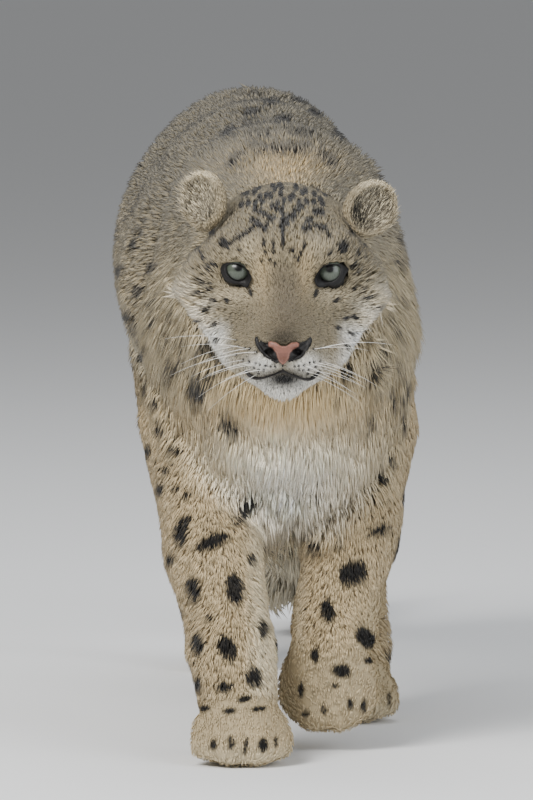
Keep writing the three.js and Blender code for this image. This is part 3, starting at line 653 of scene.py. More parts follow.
def coat_colour(points, normals, regions, weights, ragged):
    """The coat's colour with its markings at points of the skin, with hairs that break the edges."""
    count = len(points)
    colour = body_colour(points, weights)
    colour = colour * (1 + 0.10 * waves(points, 0.03, 0.7))[:, None]
    x, y, depth = to_photo(points)
    facing = -(normals @ AHEAD_ROW)
    jitter = ragged + 0.10 * waves(points, 0.006, 1.9)
    shown = smoothstep(facing, -0.12, 0.10)
    limbs = {
        name: np.isin(regions, [REGION["leg_" + name], REGION["paw_" + name]])
        for name in ("fore_right", "fore_left", "hind_left")
    }
    trunk = np.isin(regions, [NECK, TORSO])
    near_trunk = trunk & (depth < 8.9)
    inside = np.zeros(count)
    for chosen, marks, strength in (
        (regions == HEAD, FACE_MARKS, 1.0),
        (near_trunk | limbs["fore_right"] | limbs["fore_left"], NECK_MARKS, 1.0),
        (limbs["fore_right"] | ((regions == TORSO) & (x < LEGS_PART)), FORE_RIGHT_MARKS, 1.0),
        (limbs["fore_left"] | ((regions == TORSO) & (x > LEGS_PART)), FORE_LEFT_MARKS, 1.0),
        (limbs["hind_left"], HIND_LEFT_MARKS, 0.9),
        (trunk & (normals[:, 2] > 0), LINE_MARKS, 1.0),
    ):
        rows = np.nonzero(chosen & (shown > 0))[0]
        soft = jitter[rows] * (0.8 if marks is FACE_MARKS else 1.0)
        found = spots_in(x[rows], y[rows], marks, soft) * shown[rows] * strength
        inside[rows] = np.maximum(inside[rows], found)
    ring, core = rosettes(points, SKIN["centres"], SKIN["sizes"], jitter)
    hidden = np.where(regions == HEAD, 0.0, 1.0)
    faint = 1 - 0.1 * trunk
    inside = np.maximum(inside, ring * hidden * faint)
    colour = mix(colour, BRIDGE, 0.25 * core * hidden)
    tail = np.isin(regions, TAIL)
    if tail.any():
        reach = on_tail(points[tail])[0]
        bands = np.sin(reach * 58.0 + 0.9 * np.sin(points[tail][:, 0] * 60)) + jitter[tail]
        top = smoothstep(normals[tail] @ np.array((0.0, 0.35, 0.9)), -0.5, 0.1)
        inside[tail] = np.maximum(inside[tail] * 0.3, smoothstep(bands, 0.05, 0.45) * (0.35 + 0.6 * top))
    spine = np.exp(-(((points[:, 0] + 0.012) / 0.016) ** 2)) * smoothstep(points[:, 2], 0.55, 0.60)
    dashes = smoothstep(np.sin(points[:, 1] * 95) + jitter, -0.3, 0.2)
    inside = np.maximum(inside, 0.75 * spine * dashes * (regions == TORSO))
    stipple = smoothstep(waves(points, 0.0021, 3.1) + 2.4 * ragged, 0.42, 0.62)
    up = head_place(points)[1]
    speckled = (regions == HEAD) * smoothstep(up, 4, 40) + 0.35 * (regions == HEAD)
    colour = mix(colour, GREY_MARK, 0.55 * stipple * np.clip(speckled, 0, 1))
    dark = mix(filled(DARK, count), GREY_MARK, np.clip(0.35 + 3 * ragged, 0, 1) * 0.4)
    return np.clip(colour + (dark - colour) * inside[:, None], 0.01, 1.0)


def scattered_marks(surface, regions, normals, rng):
    """Centres and sizes of the rosettes on the sides that the photo doesn't show."""
    facing = -(normals @ AHEAD_ROW)
    y, z = surface.points[:, 1], surface.points[:, 2]
    free = np.isin(regions, [TORSO, NECK] + LEGS)
    seen_body = (facing > 0.12) & (y < -0.24) & (z < 0.545)
    seen_nape = (facing > 0.1) & (z > 0.5)
    low_belly = (z < 0.24) & (regions == TORSO)
    free &= ~(seen_body | seen_nape | low_belly)
    centres, sizes = [], []
    for pick in rng.choice(np.nonzero(free)[0], 9000):
        point = surface.points[pick]
        gap, least, most = (0.042, 9, 14) if regions[pick] in LEGS else (0.056, 14, 23)
        if centres and np.min(np.linalg.norm(np.array(centres) - point, axis=1)) < gap:
            continue
        centres.append(point)
        sizes.append(rng.uniform(least, most) * MM)
    return np.array(centres), np.array(sizes)


def clear_of_eyes(surface):
    """Draws the skin back round each eyeball, so that the lids meet the ball, and behind the nostrils."""
    x, y, _ = to_photo(surface.points)
    near = np.linalg.norm(surface.points - NOSE_ROW, axis=1) < 0.05
    for outline in NOSTRILS:
        behind = near & within(x, y, grown(outline, 2.0))
        surface.points[behind] += AHEAD_ROW * 0.007
    for side, opening in EYE_RIMS.items():
        away = surface.points - np.array(EYE_MIDDLES[side])
        behind = away @ AHEAD_ROW
        near = np.linalg.norm(away, axis=1) < EYE_R + 0.012
        centre = np.mean([p[0] for p in opening]), np.mean([p[1] for p in opening])
        reach = np.hypot((x - centre[0]) / 14.5, (y - centre[1]) / 11.0)
        bore = near & (reach < 1.0) & (behind < 0.002)
        push = (0.003 - behind) * (1 - smoothstep(reach, 0.82, 1.0))
        surface.points[bore] += AHEAD_ROW * push[bore, None]


def within(x, y, outline):
    """Whether pixels lie in an outline of the photo."""
    inside = np.zeros(len(x), dtype=bool)
    ends = outline[1:] + outline[:1]
    for (x0, y0), (x1, y1) in zip(outline, ends):
        if y0 == y1:
            continue
        crossing = ((y0 > y) != (y1 > y)) & (x < x0 + (y - y0) * (x1 - x0) / (y1 - y0))
        inside ^= crossing
    return inside


def grown(outline, amount):
    """An outline with each point moved out from its middle."""
    cx = sum(p[0] for p in outline) / len(outline)
    cy = sum(p[1] for p in outline) / len(outline)
    out = []
    for x, y in outline:
        reach = math.hypot(x - cx, y - cy)
        out.append((cx + (x - cx) * (1 + amount / reach), cy + (y - cy) * (1 + amount / reach)))
    return out


def rounded(outline, count):
    """Evenly spread points on a smooth closed curve through an outline."""
    points = np.array(outline)
    size = len(points)
    dense = []
    for k in range(size):
        a, b, c, d = (points[(k + j) % size] for j in (-1, 0, 1, 2))
        for t in np.linspace(0, 1, 12, endpoint=False):
            bend = (2 * a - 5 * b + 4 * c - d) * t**2
            dense.append(0.5 * (2 * b + (c - a) * t + bend + (3 * b - a - 3 * c + d) * t**3))
    dense = np.array(dense)
    steps = np.linalg.norm(np.roll(dense, -1, axis=0) - dense, axis=1)
    along = np.concatenate([[0], np.cumsum(steps)])
    wanted = np.linspace(0, along[-1], count, endpoint=False)
    looped = np.vstack([dense, dense[:1]])
    return [(np.interp(w, along, looped[:, 0]), np.interp(w, along, looped[:, 1])) for w in wanted]


def tuft_mesh(name, roots, mids, tips, across, radius, shades, spots):
    """Thin closed tufts of six faces, each with its own colours and its own patch in the OFBake map."""
    count = len(roots)
    axis = unit(tips - roots)
    u = unit(across - axis * np.sum(across * axis, axis=1, keepdims=True))
    v = np.cross(axis, u)
    corners = np.empty((count, 5, 3))
    corners[:, 0] = roots
    corners[:, 4] = tips
    for k, angle in enumerate((math.pi / 2, math.pi * 7 / 6, math.pi * 11 / 6)):
        wide = radius[:, None] * (u * math.cos(angle) * 1.35 + v * math.sin(angle) * 0.75)
        corners[:, 1 + k] = mids + wide
    corners[..., 2] = np.maximum(corners[..., 2], FLOOR_GAP)
    pattern = np.array([(0, 2, 1), (0, 3, 2), (0, 1, 3), (4, 1, 2), (4, 2, 3), (4, 3, 1)])
    faces = (np.arange(count)[:, None, None] * 5 + pattern[None]).reshape(-1, 3)
    mesh = bpy.data.meshes.new(name)
    mesh.from_pydata(corners.reshape(-1, 3), [], faces)
    paint(mesh, shades.reshape(-1, 3))
    patch = 0.0013 * np.array([(0, -1), (0, 0.4), (-0.9, -0.2), (0.9, -0.2), (0, 1)])
    places = (spots[:, None] + patch[None]).reshape(-1, 2)
    layer = mesh.uv_layers.new(name="OFBake")
    layer.data.foreach_set("uv", places[faces.ravel()].ravel())
    smooth_shade(mesh)
    return mesh


def unwrapped(points, kind):
    """Where points lie on a map of the part's own shape: round its axis and along it."""
    low, high = points.min(axis=0), points.max(axis=0)
    centre = (low + high) / 2
    if kind == "tail":
        starts = TAIL_LINE[:-1]
        near = starts[np.argmin(np.linalg.norm(points[:, None] - starts[None], axis=2), axis=1)]
        out = points - near
        angle = np.arctan2(out[:, 0], out @ np.array((0.0, 0.5, 0.87)))
        along = on_tail(points)[0]
    elif kind == "upright":
        angle = np.arctan2(points[:, 0] - centre[0], -(points[:, 1] - centre[1]))
        along = (points[:, 2] - low[2]) / (high[2] - low[2])
    else:
        angle = np.arctan2(points[:, 0] - centre[0], points[:, 2] - centre[2])
        along = (points[:, 1] - low[1]) / (high[1] - low[1])
    return inset(np.stack([angle / math.tau + 0.5, along], axis=1))


def nearest_of(starts, points):
    """Which of the starts each point is nearest to."""
    tree = KDTree(len(starts))
    for k, start in enumerate(starts):
        tree.insert(start, k)
    tree.balance()
    return np.array([tree.find(point)[1] for point in points])


def grow_coat(name, chosen, count, seed, kind, clump):
    """Tufts over the chosen faces of the skin, in clumps of about that size, that cover all of it alike."""
    surface = SKIN["surface"]
    rng = np.random.default_rng(seed)
    faces = surface.faces[chosen]
    area = np.linalg.norm(surface.crossed(faces), axis=1)
    cover = (SKIN["length"] * SKIN["radius"])[faces].mean(axis=1)
    chance = area / cover
    pick = rng.choice(len(faces), count, p=chance / chance.sum())
    corners = faces[pick]
    a, b = rng.random(count), rng.random(count)
    flip = a + b > 1
    a[flip], b[flip] = 1 - a[flip], 1 - b[flip]
    share = np.stack([1 - a - b, a, b], axis=1)[..., None]

    def at(values):
        return (values[corners].reshape(count, 3, -1) * share).sum(axis=1)

    roots, normals, weights = at(surface.points), unit(at(SKIN["normals"])), at(SKIN["weights"])
    length, stand, radius = (at(SKIN[key])[:, 0] for key in ("length", "stand", "radius"))
    regions = weights.argmax(axis=1)
    lie = at(SKIN["lie"])
    across = np.cross(lie, normals)
    sway = 0.22 * waves(roots, 0.035, 0.4) + 0.10 * waves(roots, 0.011, 2.2) + rng.normal(0, 0.075, count)
    lie = lie + across * sway[:, None]
    lie = unit(along_skin(lie, normals))
    clumps = min(count, int(area.sum() / 2 / clump**2) + 8)
    starts = roots[rng.choice(count, clumps, replace=False)]
    group = nearest_of(starts, roots)
    toward = along_skin(starts[group] - roots, normals)
    reach = length * rng.uniform(0.72, 1.2, count)
    flat = smoothstep(-length, -0.024, -0.012)
    height = stand * rng.uniform(0.5 - 0.15 * flat, 1.05 - 0.25 * flat, count) * SKIN["lift"]
    tips = roots + lie * reach[:, None] * 0.93 + normals * height[:, None] + toward * 0.34
    mids = roots + lie * reach[:, None] * 0.42 + normals * (height * 0.72)[:, None] + toward * 0.15
    ends = [to_photo(part)[:2] for part in (roots, mids, tips)]
    keep = np.ones(count, dtype=bool)
    if name in ("coat_face", "coat_crown"):
        for outline in [*EYE_RIMS.values(), grown(NOSE_PAD, 1.0), *NOSTRILS]:
            for x, y in ends:
                keep &= ~within(x, y, outline)
    ragged = rng.normal(0, 0.10, count)
    low, high = (coat_colour(part, normals, regions, weights, ragged) for part in (mids, tips))
    bright = rng.normal(1.0, 0.09, count) * rng.normal(1.0, 0.04, clumps)[group]
    # Painted shade at each tuft's root, partly underfur too, with a slightly lighter tip
    shades = np.stack([low * ROOT_SHADE, *[low * MIDDLE_SHADE] * 3, high * TIP_SHADE], axis=1)
    shades = np.clip(shades * np.clip(bright, 0.7, 1.3)[:, None, None], 0.005, 1.0)
    roots = roots - normals * np.minimum(0.25 * stand, 3.5 * MM)[:, None]
    places = unwrapped(roots, kind)
    thick = radius * rng.uniform(0.75, 1.25, count)
    mesh = tuft_mesh(
        name, roots[keep], mids[keep], tips[keep], across[keep], thick[keep], shades[keep], places[keep]
    )
    coat = new_object(name, mesh)
    mesh.materials.append(SKIN["fur"])
    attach(coat, "root")
    return coat


class LeopardSettings(bpy.types.PropertyGroup):
    density: bpy.props.FloatProperty(
        name="Coat density", description="Share of the tufts that are grown", default=1.0, min=0.05, max=1.0,
        subtype="FACTOR",
    )
    lift: bpy.props.FloatProperty(
        name="Coat lift", description="How far the tufts stand up", default=1.0, min=0.2, max=1.5,
        subtype="FACTOR",
    )
    skin_face: bpy.props.FloatProperty(
        name="Skin face", description="Size of the skin's faces", default=0.0049, min=0.003, max=0.02,
        unit="LENGTH",
    )
    whisker: bpy.props.FloatProperty(
        name="Whisker length", description="Length of the longest whiskers", default=0.085, min=0.02,
        max=0.15, unit="LENGTH",
    )
    nose_colour: bpy.props.FloatVectorProperty(
        name="Nose colour", description="Colour of the bare pad of the nose", default=(0.185, 0.075, 0.052),
        size=3, min=0.0, max=1.0, subtype="COLOR",
    )
    iris_colour: bpy.props.FloatVectorProperty(
        name="Iris colour", description="Colour of the iris", default=(0.085, 0.102, 0.076), size=3, min=0.0,
        max=1.0, subtype="COLOR",
    )


def settings():
    return bpy.context.scene.leopard


def coat_sizes(points, weights):
    """The coat's depth, length, radius, rounds of evening out and stand at points, as in COAT_KINDS."""
    kinds = np.array([COAT_KINDS[name.split("_")[0]] for name in FLESH], dtype=float)
    depth, length, radius, rounds, stand = (weights @ kinds).T
    stand = stand - depth
    x, up, back = head_place(points)
    is_head = weights[:, HEAD]
    wide = np.abs(x)
    cheek = smoothstep(wide, 58, 84) * smoothstep(-up, -40, 0) * smoothstep(back, -40, 10) * is_head
    from_nose = np.linalg.norm(points - NOSE_ROW, axis=1) / MM
    head_length = 3.4 + 8.5 * smoothstep(from_nose, 22, 120) + 10 * cheek
    head_length += 7 * smoothstep(-up, 108, 122)
    ruff = smoothstep(-up, 25, 55) * smoothstep(wide + 0.35 * -up, 62, 84)
    head_length += 9 * ruff * (1 - cheek)
    length = length * (1 - is_head) + head_length * is_head
    depth += 5.5 * cheek
    for side in ("right", "left"):
        foot = middle_of("ear_" + side) - Vector((0.0, 0.0, 0.02))
        by_ear = 1 - smoothstep(np.linalg.norm(points - np.array(foot), axis=1), 0.024, 0.045)
        length += 7 * by_ear * is_head
        depth += 2.0 * by_ear * is_head
    depth -= 1.6 * is_head * (1 - smoothstep(from_nose, 25, 80))
    radius -= 0.22 * is_head * (1 - smoothstep(from_nose, 25, 110))
    radius += 0.25 * cheek
    rounds += 17 * cheek
    belly = smoothstep(-points[:, 2], -0.30, -0.23) * weights[:, TORSO]
    length += 20 * belly
    depth += 6 * belly
    chest = smoothstep(-points[:, 1], 0.36, 0.46) * (weights[:, TORSO] + weights[:, NECK])
    chest *= 1 - smoothstep(points[:, 2], 0.42, 0.5)
    length += 10 * chest
    rump = 1 - smoothstep(np.linalg.norm(points - TAIL_LINE[0], axis=1), 0.05, 0.13)
    rounds += 60 * rump * (1 - weights[:, TAIL].sum(axis=1))
    return depth, length, radius, rounds, depth + stand


class LEOPARD_OT_skin(bpy.types.Operator):
    """Build one skin in place of the flesh, drawn in by the depth of the coat"""

    bl_idname = "leopard.skin"
    bl_label = "Skin"

    def execute(self, context):
        shape = joined_copy(FLESH, "skin")
        mesh = remeshed(shape, settings().skin_face)
        surface = Surface(mesh)
        tree, owners = flesh_tree(FLESH)
        regions = np.array([owners[tree.find_nearest(Vector(point))[2]] for point in surface.points])
        weights = np.zeros((len(regions), len(FLESH)))
        weights[np.arange(len(regions)), regions] = 1.0
        weights = surface.eased(weights, 14)
        depth, length, radius, rounds, stand = coat_sizes(surface.points, weights)
        share = (np.clip(rounds / EVEN_ROUNDS, 0, 3) * 0.2)[:, None]
        for _ in range(3 * EVEN_ROUNDS):
            surface.points += (surface.around(surface.points) - surface.points) * share
        for _ in range(DRAW_STEPS):
            surface.points -= surface.normals() * (depth * MM / DRAW_STEPS)[:, None]
        clear_of_eyes(surface)
        surface.write_to(mesh)
        normals = surface.normals()
        lie = unit(along_skin(surface.eased(lie_of(surface.points, regions), 24), normals))
        SKIN.update(
            surface=surface, regions=regions, weights=weights, normals=normals, lie=lie,
            length=length * MM, radius=radius * MM, stand=stand * MM, lift=settings().lift,
            fur=shader("fur", (0.5, 0.5, 0.5), 0.62, "coat", specular=0.25, sheen=0.08),
        )
        rng = np.random.default_rng(41)
        SKIN["centres"], SKIN["sizes"] = scattered_marks(surface, regions, normals, rng)
        shade = coat_colour(surface.points, normals, regions, weights, rng.normal(0, 0.05, len(regions)))
        # The skin under the coat is darkened like the tufts' roots: partly underfur, partly painted shade
        # between the tufts
        paint(mesh, shade * ROOT_SHADE)
        smooth_shade(mesh)
        hide = shader("hide", (0.4, 0.4, 0.4), 0.8, "coat", specular=0.2)
        mesh.materials.append(bumped(hide, 900.0, 0.5))
        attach(shape, "root")
        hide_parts(*FLESH)
        return {"FINISHED"}


class LEOPARD_OT_coat(bpy.types.Operator):
    """Grow the coat's tufts over the skin, part by part"""

    bl_idname = "leopard.coat"
    bl_label = "Coat"

    def execute(self, context):
        surface = SKIN["surface"]
        faces = surface.faces
        middle = surface.points[faces].mean(axis=1)
        owner = SKIN["regions"][faces[:, 0]]
        back = head_place(middle)[2]
        y, z = middle[:, 1], middle[:, 2]
        head, torso = owner == HEAD, owner == TORSO
        face = head & (back < 42)
        chest = torso & (y < -0.30) & (z < 0.50)
        upper = torso & (z >= 0.50)
        low = torso & (z < 0.30) & ~chest
        share = settings().density
        # The piece, its faces, how many tufts it has, its map and the size of a clump in metres
        for name, chosen, count, kind, clump in (
            ("coat_face", face, 33000, "upright", 0.0035),
            ("coat_crown", head & ~face, 23000, "upright", 0.007),
            ("coat_neck", owner == NECK, 32000, "lengthwise", 0.011),
            ("coat_chest", chest, 26000, "upright", 0.013),
            ("coat_back", upper, 22000, "lengthwise", 0.011),
            ("coat_flanks", torso & ~chest & ~upper & ~low, 27000, "lengthwise", 0.012),
            ("coat_belly", low, 6000, "lengthwise", 0.014),
            ("coat_fore_legs", np.isin(owner, FORE_LEGS), 32000, "upright", 0.007),
            ("coat_hind_legs", np.isin(owner, LEGS) & ~np.isin(owner, FORE_LEGS), 15000, "upright", 0.008),
            ("coat_paws", np.isin(owner, PAWS), 16000, "upright", 0.005),
            ("coat_tail", np.isin(owner, TAIL), 12000, "tail", 0.014),
        ):
            grow_coat(name, np.nonzero(chosen)[0], int(count * share), 100 + len(name), kind, clump)
        return {"FINISHED"}


class LEOPARD_OT_ears(bpy.types.Operator):
    """Build each ear's cup with its rim, its inside darkened by painted shadow, and its hairs"""

    bl_idname = "leopard.ears"
    bl_label = "Ears"

    def execute(self, context):
        for side, turn in (("right", -1.0), ("left", 1.0)):
            name = "ear_" + side
            shape = joined_copy([name], "ear_skin_" + side)
            mesh = remeshed(shape, EAR_FACE)
            surface = Surface(mesh)
            surface.points = surface.eased(surface.points, 7, 0.5)
            surface.points -= surface.normals() * EAR_FUR_DEPTH
            surface.write_to(mesh)
            normals = surface.normals()
            front = np.array((0.30 * turn, -0.93, 0.20))
            centre = np.array(middle_of(name))
            base = centre - np.array((0.010 * turn, 0.0, 0.034))

            def shade_of(where, turned, rng):
                """The ear's colour at points whose normals are turned that much to its front."""
                out = np.linalg.norm(where - centre, axis=1) / MM
                height = (where[:, 2] - base[2]) / MM
                medial = -(where[:, 0] - centre[0]) * turn / MM
                cup = smoothstep(turned, 0.15, 0.5) * (1 - smoothstep(out, 19, 26))
                back_patch = np.exp(-(((out - 6) / 13) ** 2)) * smoothstep(-turned, 0.2, 0.6)
                colour = mix(filled(EAR_RIM, len(where)), EAR_INSIDE, cup)
                pale = rng.random(len(where)) < 0.34
                colour = mix(colour, CREAM, 0.75 * cup * pale)
                shadow = cup * smoothstep(medial - 0.4 * (height - 30), 2, 16) * (0.35 + 0.65 * ~pale)
                colour = mix(colour, DARK, 0.92 * shadow)
                colour = mix(colour, CREAM, 0.7 * smoothstep(height, 50, 60) * smoothstep(turned, -0.3, 0.3))
                colour = mix(colour, EAR_BEHIND, smoothstep(-turned, 0.1, 0.5) * 0.85)
                return mix(colour, EAR_PATCH, back_patch)

            rng = np.random.default_rng(61 if side == "left" else 62)
            # The skin under the ear's hairs is darkened, partly for underfur and partly as painted shade
            # between them
            paint(mesh, shade_of(surface.points, normals @ front, rng) * 0.6)
            smooth_shade(mesh)
            mesh.materials.append(SKIN["fur"])
            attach(shape, "root")
            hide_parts(name)
            count = int(EAR_TUFTS * settings().density)
            faces = surface.faces
            area = np.linalg.norm(surface.crossed(faces), axis=1)
            pick = rng.choice(len(faces), count, p=area / area.sum())
            share = rng.dirichlet((1, 1, 1), count)[..., None]
            corners = faces[pick]
            roots = (surface.points[corners] * share).sum(axis=1)
            turned = unit((normals[corners] * share).sum(axis=1))
            lie = unit(roots - base + np.array((0.008 * turn, 0.004, 0.0)))
            lie = lie + rng.normal(0, 0.16, (count, 3))
            lie = unit(along_skin(lie, turned))
            out = np.linalg.norm(roots - centre, axis=1) / MM
            inner = (turned @ front > 0.35) & (out < 24)
            reach = np.where(inner, rng.uniform(7, 15, count), rng.uniform(3.5, 6, count)) * MM
            height = np.where(inner, rng.uniform(0.6, 3.5, count), rng.uniform(0.3, 1.0, count)) * MM
            tips = roots + lie * reach[:, None] + turned * height[:, None]
            mids = roots + lie * (reach * 0.45)[:, None] + turned * (height * 0.8)[:, None]
            shade = shade_of(roots, turned @ front, rng) * rng.normal(1.0, 0.12, count)[:, None]
            # Darker at the root, partly underfur and partly painted shade among the hairs, a little lighter
            # at the tip
            shade_along_tuft = np.array([0.6, 0.95, 0.95, 0.95, 1.1])
            shades = np.clip(shade[:, None] * shade_along_tuft[None, :, None], 0.005, 1.0)
            thick = np.where(inner, 0.32, 0.34) * MM * rng.uniform(0.8, 1.2, count)
            angle = np.arctan2(roots[:, 0] - centre[0], -(roots[:, 1] - centre[1]))
            along = (roots[:, 2] - roots[:, 2].min()) / np.ptp(roots[:, 2])
            places = inset(np.stack([angle / math.tau + 0.5, along], axis=1))
            across = np.cross(lie, turned)
            fur = tuft_mesh("coat_ear_" + side, roots, mids, tips, across, thick, shades, places)
            fur.materials.append(SKIN["fur"])
            coat = new_object("coat_ear_" + side, fur)
            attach(coat, "root")
        return {"FINISHED"}


class LEOPARD_OT_eyes(bpy.types.Operator):
    """Build the eyeballs with their iris, pupil and clear front"""

    bl_idname = "leopard.eyes"
    bl_label = "Eyes"

    def execute(self, context):
        gaze = Vector((0.0, -1.0, 0.27)).normalized()
        turn = Vector((0, 0, 1)).rotation_difference(gaze).to_matrix().to_4x4()
        for side, middle in EYE_MIDDLES.items():
            name = "eyeball_" + side
            bm = bmesh.new()
            bmesh.ops.create_uvsphere(bm, u_segments=64, v_segments=64, radius=EYE_R)
            ring = bm.verts.layers.float.new("iris")
            spoke = bm.verts.layers.float.new("spoke")
            for vert in bm.verts:
                angle = math.degrees(math.acos(max(-1, min(1, vert.co.z / EYE_R))))
                vert[ring] = angle / 90
                vert[spoke] = math.atan2(vert.co.y, vert.co.x)
                bulge = CORNEA_RISE * max(0.0, 1 - (angle / CORNEA_EDGE) ** 2)
                vert.co *= 1 + bulge / EYE_R
            bmesh.ops.transform(bm, matrix=turn, verts=bm.verts)
            bmesh.ops.translate(bm, vec=middle, verts=bm.verts)
            mesh = mesh_from(bm, name)
            smooth_shade(mesh)
            mesh.materials.append(self.iris_material())
            ball = new_object(name, mesh)
            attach(ball, "root")
            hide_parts("eye_" + side)
        return {"FINISHED"}

    def iris_material(self):
        if "eye_front" in bpy.data.materials:
            return bpy.data.materials["eye_front"]
        made = shader("eye_front", (0.3, 0.3, 0.3), 0.35, coat=0.45, specular=0.3)
        nodes, links = made.node_tree.nodes, made.node_tree.links
        read = attribute_node(nodes, "iris")
        spoke = attribute_node(nodes, "spoke")
        grain = noise_node(nodes, 7.0, 5.0)
        grain.noise_dimensions = "2D"
        join = nodes.new("ShaderNodeCombineXYZ")
        links.new(spoke.outputs["Fac"], join.inputs["X"])
        links.new(read.outputs["Fac"], join.inputs["Y"])
        links.new(join.outputs["Vector"], grain.inputs["Vector"])
        ramp = nodes.new("ShaderNodeValToRGB")
        colour = settings().iris_colour
        # Brightness from the pupil's middle outwards: the dark pupil, the iris, then a darkening over the
        # iris's edge and the rest of the ball, which is painted shade of the lids
        iris_and_lid_shade_stops = [
            (0.0, 0.012), (0.135, 0.012), (0.16, 0.5), (0.21, 0.95), (0.30, 1.0), (0.42, 0.80),
            (0.475, 0.38), (0.52, 0.03),
        ]
        ramp.color_ramp.elements[0].position = iris_and_lid_shade_stops[0][0]
        ramp.color_ramp.elements[1].position = iris_and_lid_shade_stops[-1][0]
        for position, _ in iris_and_lid_shade_stops[1:-1]:
            ramp.color_ramp.elements.new(position)
        for element, (_, amount) in zip(ramp.color_ramp.elements, iris_and_lid_shade_stops):
            element.color = (colour[0] * amount, colour[1] * amount, colour[2] * amount, 1)
        links.new(read.outputs["Fac"], ramp.inputs["Fac"])
        blend = nodes.new("ShaderNodeMix")
        blend.data_type = "RGBA"
        blend.blend_type = "MULTIPLY"
        blend.inputs["Factor"].default_value = 0.55
        first, second = (socket for socket in blend.inputs if socket.type == "RGBA")
        result = next(socket for socket in blend.outputs if socket.type == "RGBA")
        links.new(ramp.outputs["Color"], first)
        links.new(grain.outputs["Fac"], second)
        links.new(result, nodes["Principled BSDF"].inputs["Base Color"])
        return made


def on_ball(middle, x, y, radius):
    """The point of a ball about an eye's middle that the photo's pixel shows."""
    ray = ray_of(x, y)
    to_middle = middle - EYE_POINT
    along = to_middle.dot(ray)
    off = to_middle.length_squared - along**2
    return EYE_POINT + ray * (along - math.sqrt(max(radius**2 - off, 0.0)))


def lofted(name, rows):
    """A closed ring whose section is made of the rows, each a closed loop of points."""
    bm = bmesh.new()
    loops = []
    for row in rows:
        verts = [bm.verts.new(point) for point in row]
        edges = [bm.edges.new((verts[k - 1], verts[k])) for k in range(len(verts))]
        loops.append(edges)
    for k, loop in enumerate(loops):
        bmesh.ops.bridge_loops(bm, edges=loops[k - 1] + loop)
    bmesh.ops.recalc_face_normals(bm, faces=bm.faces)
    mesh = mesh_from(bm, name)
    smooth_shade(mesh)
    return mesh


class LEOPARD_OT_lids(bpy.types.Operator):
    """Build the dark rims of the eyelids round each eye, dark partly as the lids' own edge and partly as
    painted shade of the lids
    """

    bl_idname = "leopard.lids"
    bl_label = "Eyelids"

    def execute(self, context):
        tree, _ = flesh_tree(["head"])
        # The lid colour is near-black: partly the lids' own dark edge, partly painted shade of the upper
        # lids over the eye
        dark = bumped(shader("lid", linear((0.055, 0.048, 0.045)), 0.55, specular=0.3), 1400.0, 0.3)
        for side, middle in EYE_MIDDLES.items():
            outer = rounded(EYE_RIMS[side], 48)
            inner = rounded(EYE_OPENINGS[side], 48)
            depths = np.array([(onto(tree, x, y) - EYE_POINT).dot(AHEAD) for x, y in outer])
            for _ in range(4):
                depths = (np.roll(depths, 1) + depths * 2 + np.roll(depths, -1)) / 4
            edge = [at_depth(x, y, depth) for (x, y), depth in zip(outer, depths)]
            near = [on_ball(middle, x, y, EYE_R + 0.0012) for x, y in inner]
            near = [near[k] for k in self.matched(edge, near)]
            toward = -AHEAD
            rows = [
                [p - toward * 0.005 for p in edge],
                [p + toward * 0.0004 for p in edge],
                [self.clear(a.lerp(b, 0.35) + toward * 0.0012, middle) for a, b in zip(edge, near)],
                [self.clear(a.lerp(b, 0.75) + toward * 0.0010, middle) for a, b in zip(edge, near)],
                [p + toward * 0.0004 for p in near],
                [middle + (p - middle).normalized() * (EYE_R - 0.002) for p in near],
            ]
            mesh = lofted("eyelid_" + side, rows)
            mesh.materials.append(dark)
            lid = new_object("eyelid_" + side, mesh)
            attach(lid, "root")
        return {"FINISHED"}

    def clear(self, point, middle):
        """The point, or the nearest place outside the eyeball where it lies inside."""
        away = point - middle
        return middle + away * max(1.0, (EYE_R + 0.0021) / away.length)

    def matched(self, first, second):
        """Starts the second loop beside the first one's start, and runs it the same way."""
        count = len(first)
        best = None
        for way in (1, -1):
            for start in range(count):
                order = [(start + way * k) % count for k in range(count)]
                total = sum((first[k] - second[order[k]]).length for k in range(0, count, 4))
                if best is None or total < best[0]:
                    best = (total, order)
        return best[1]


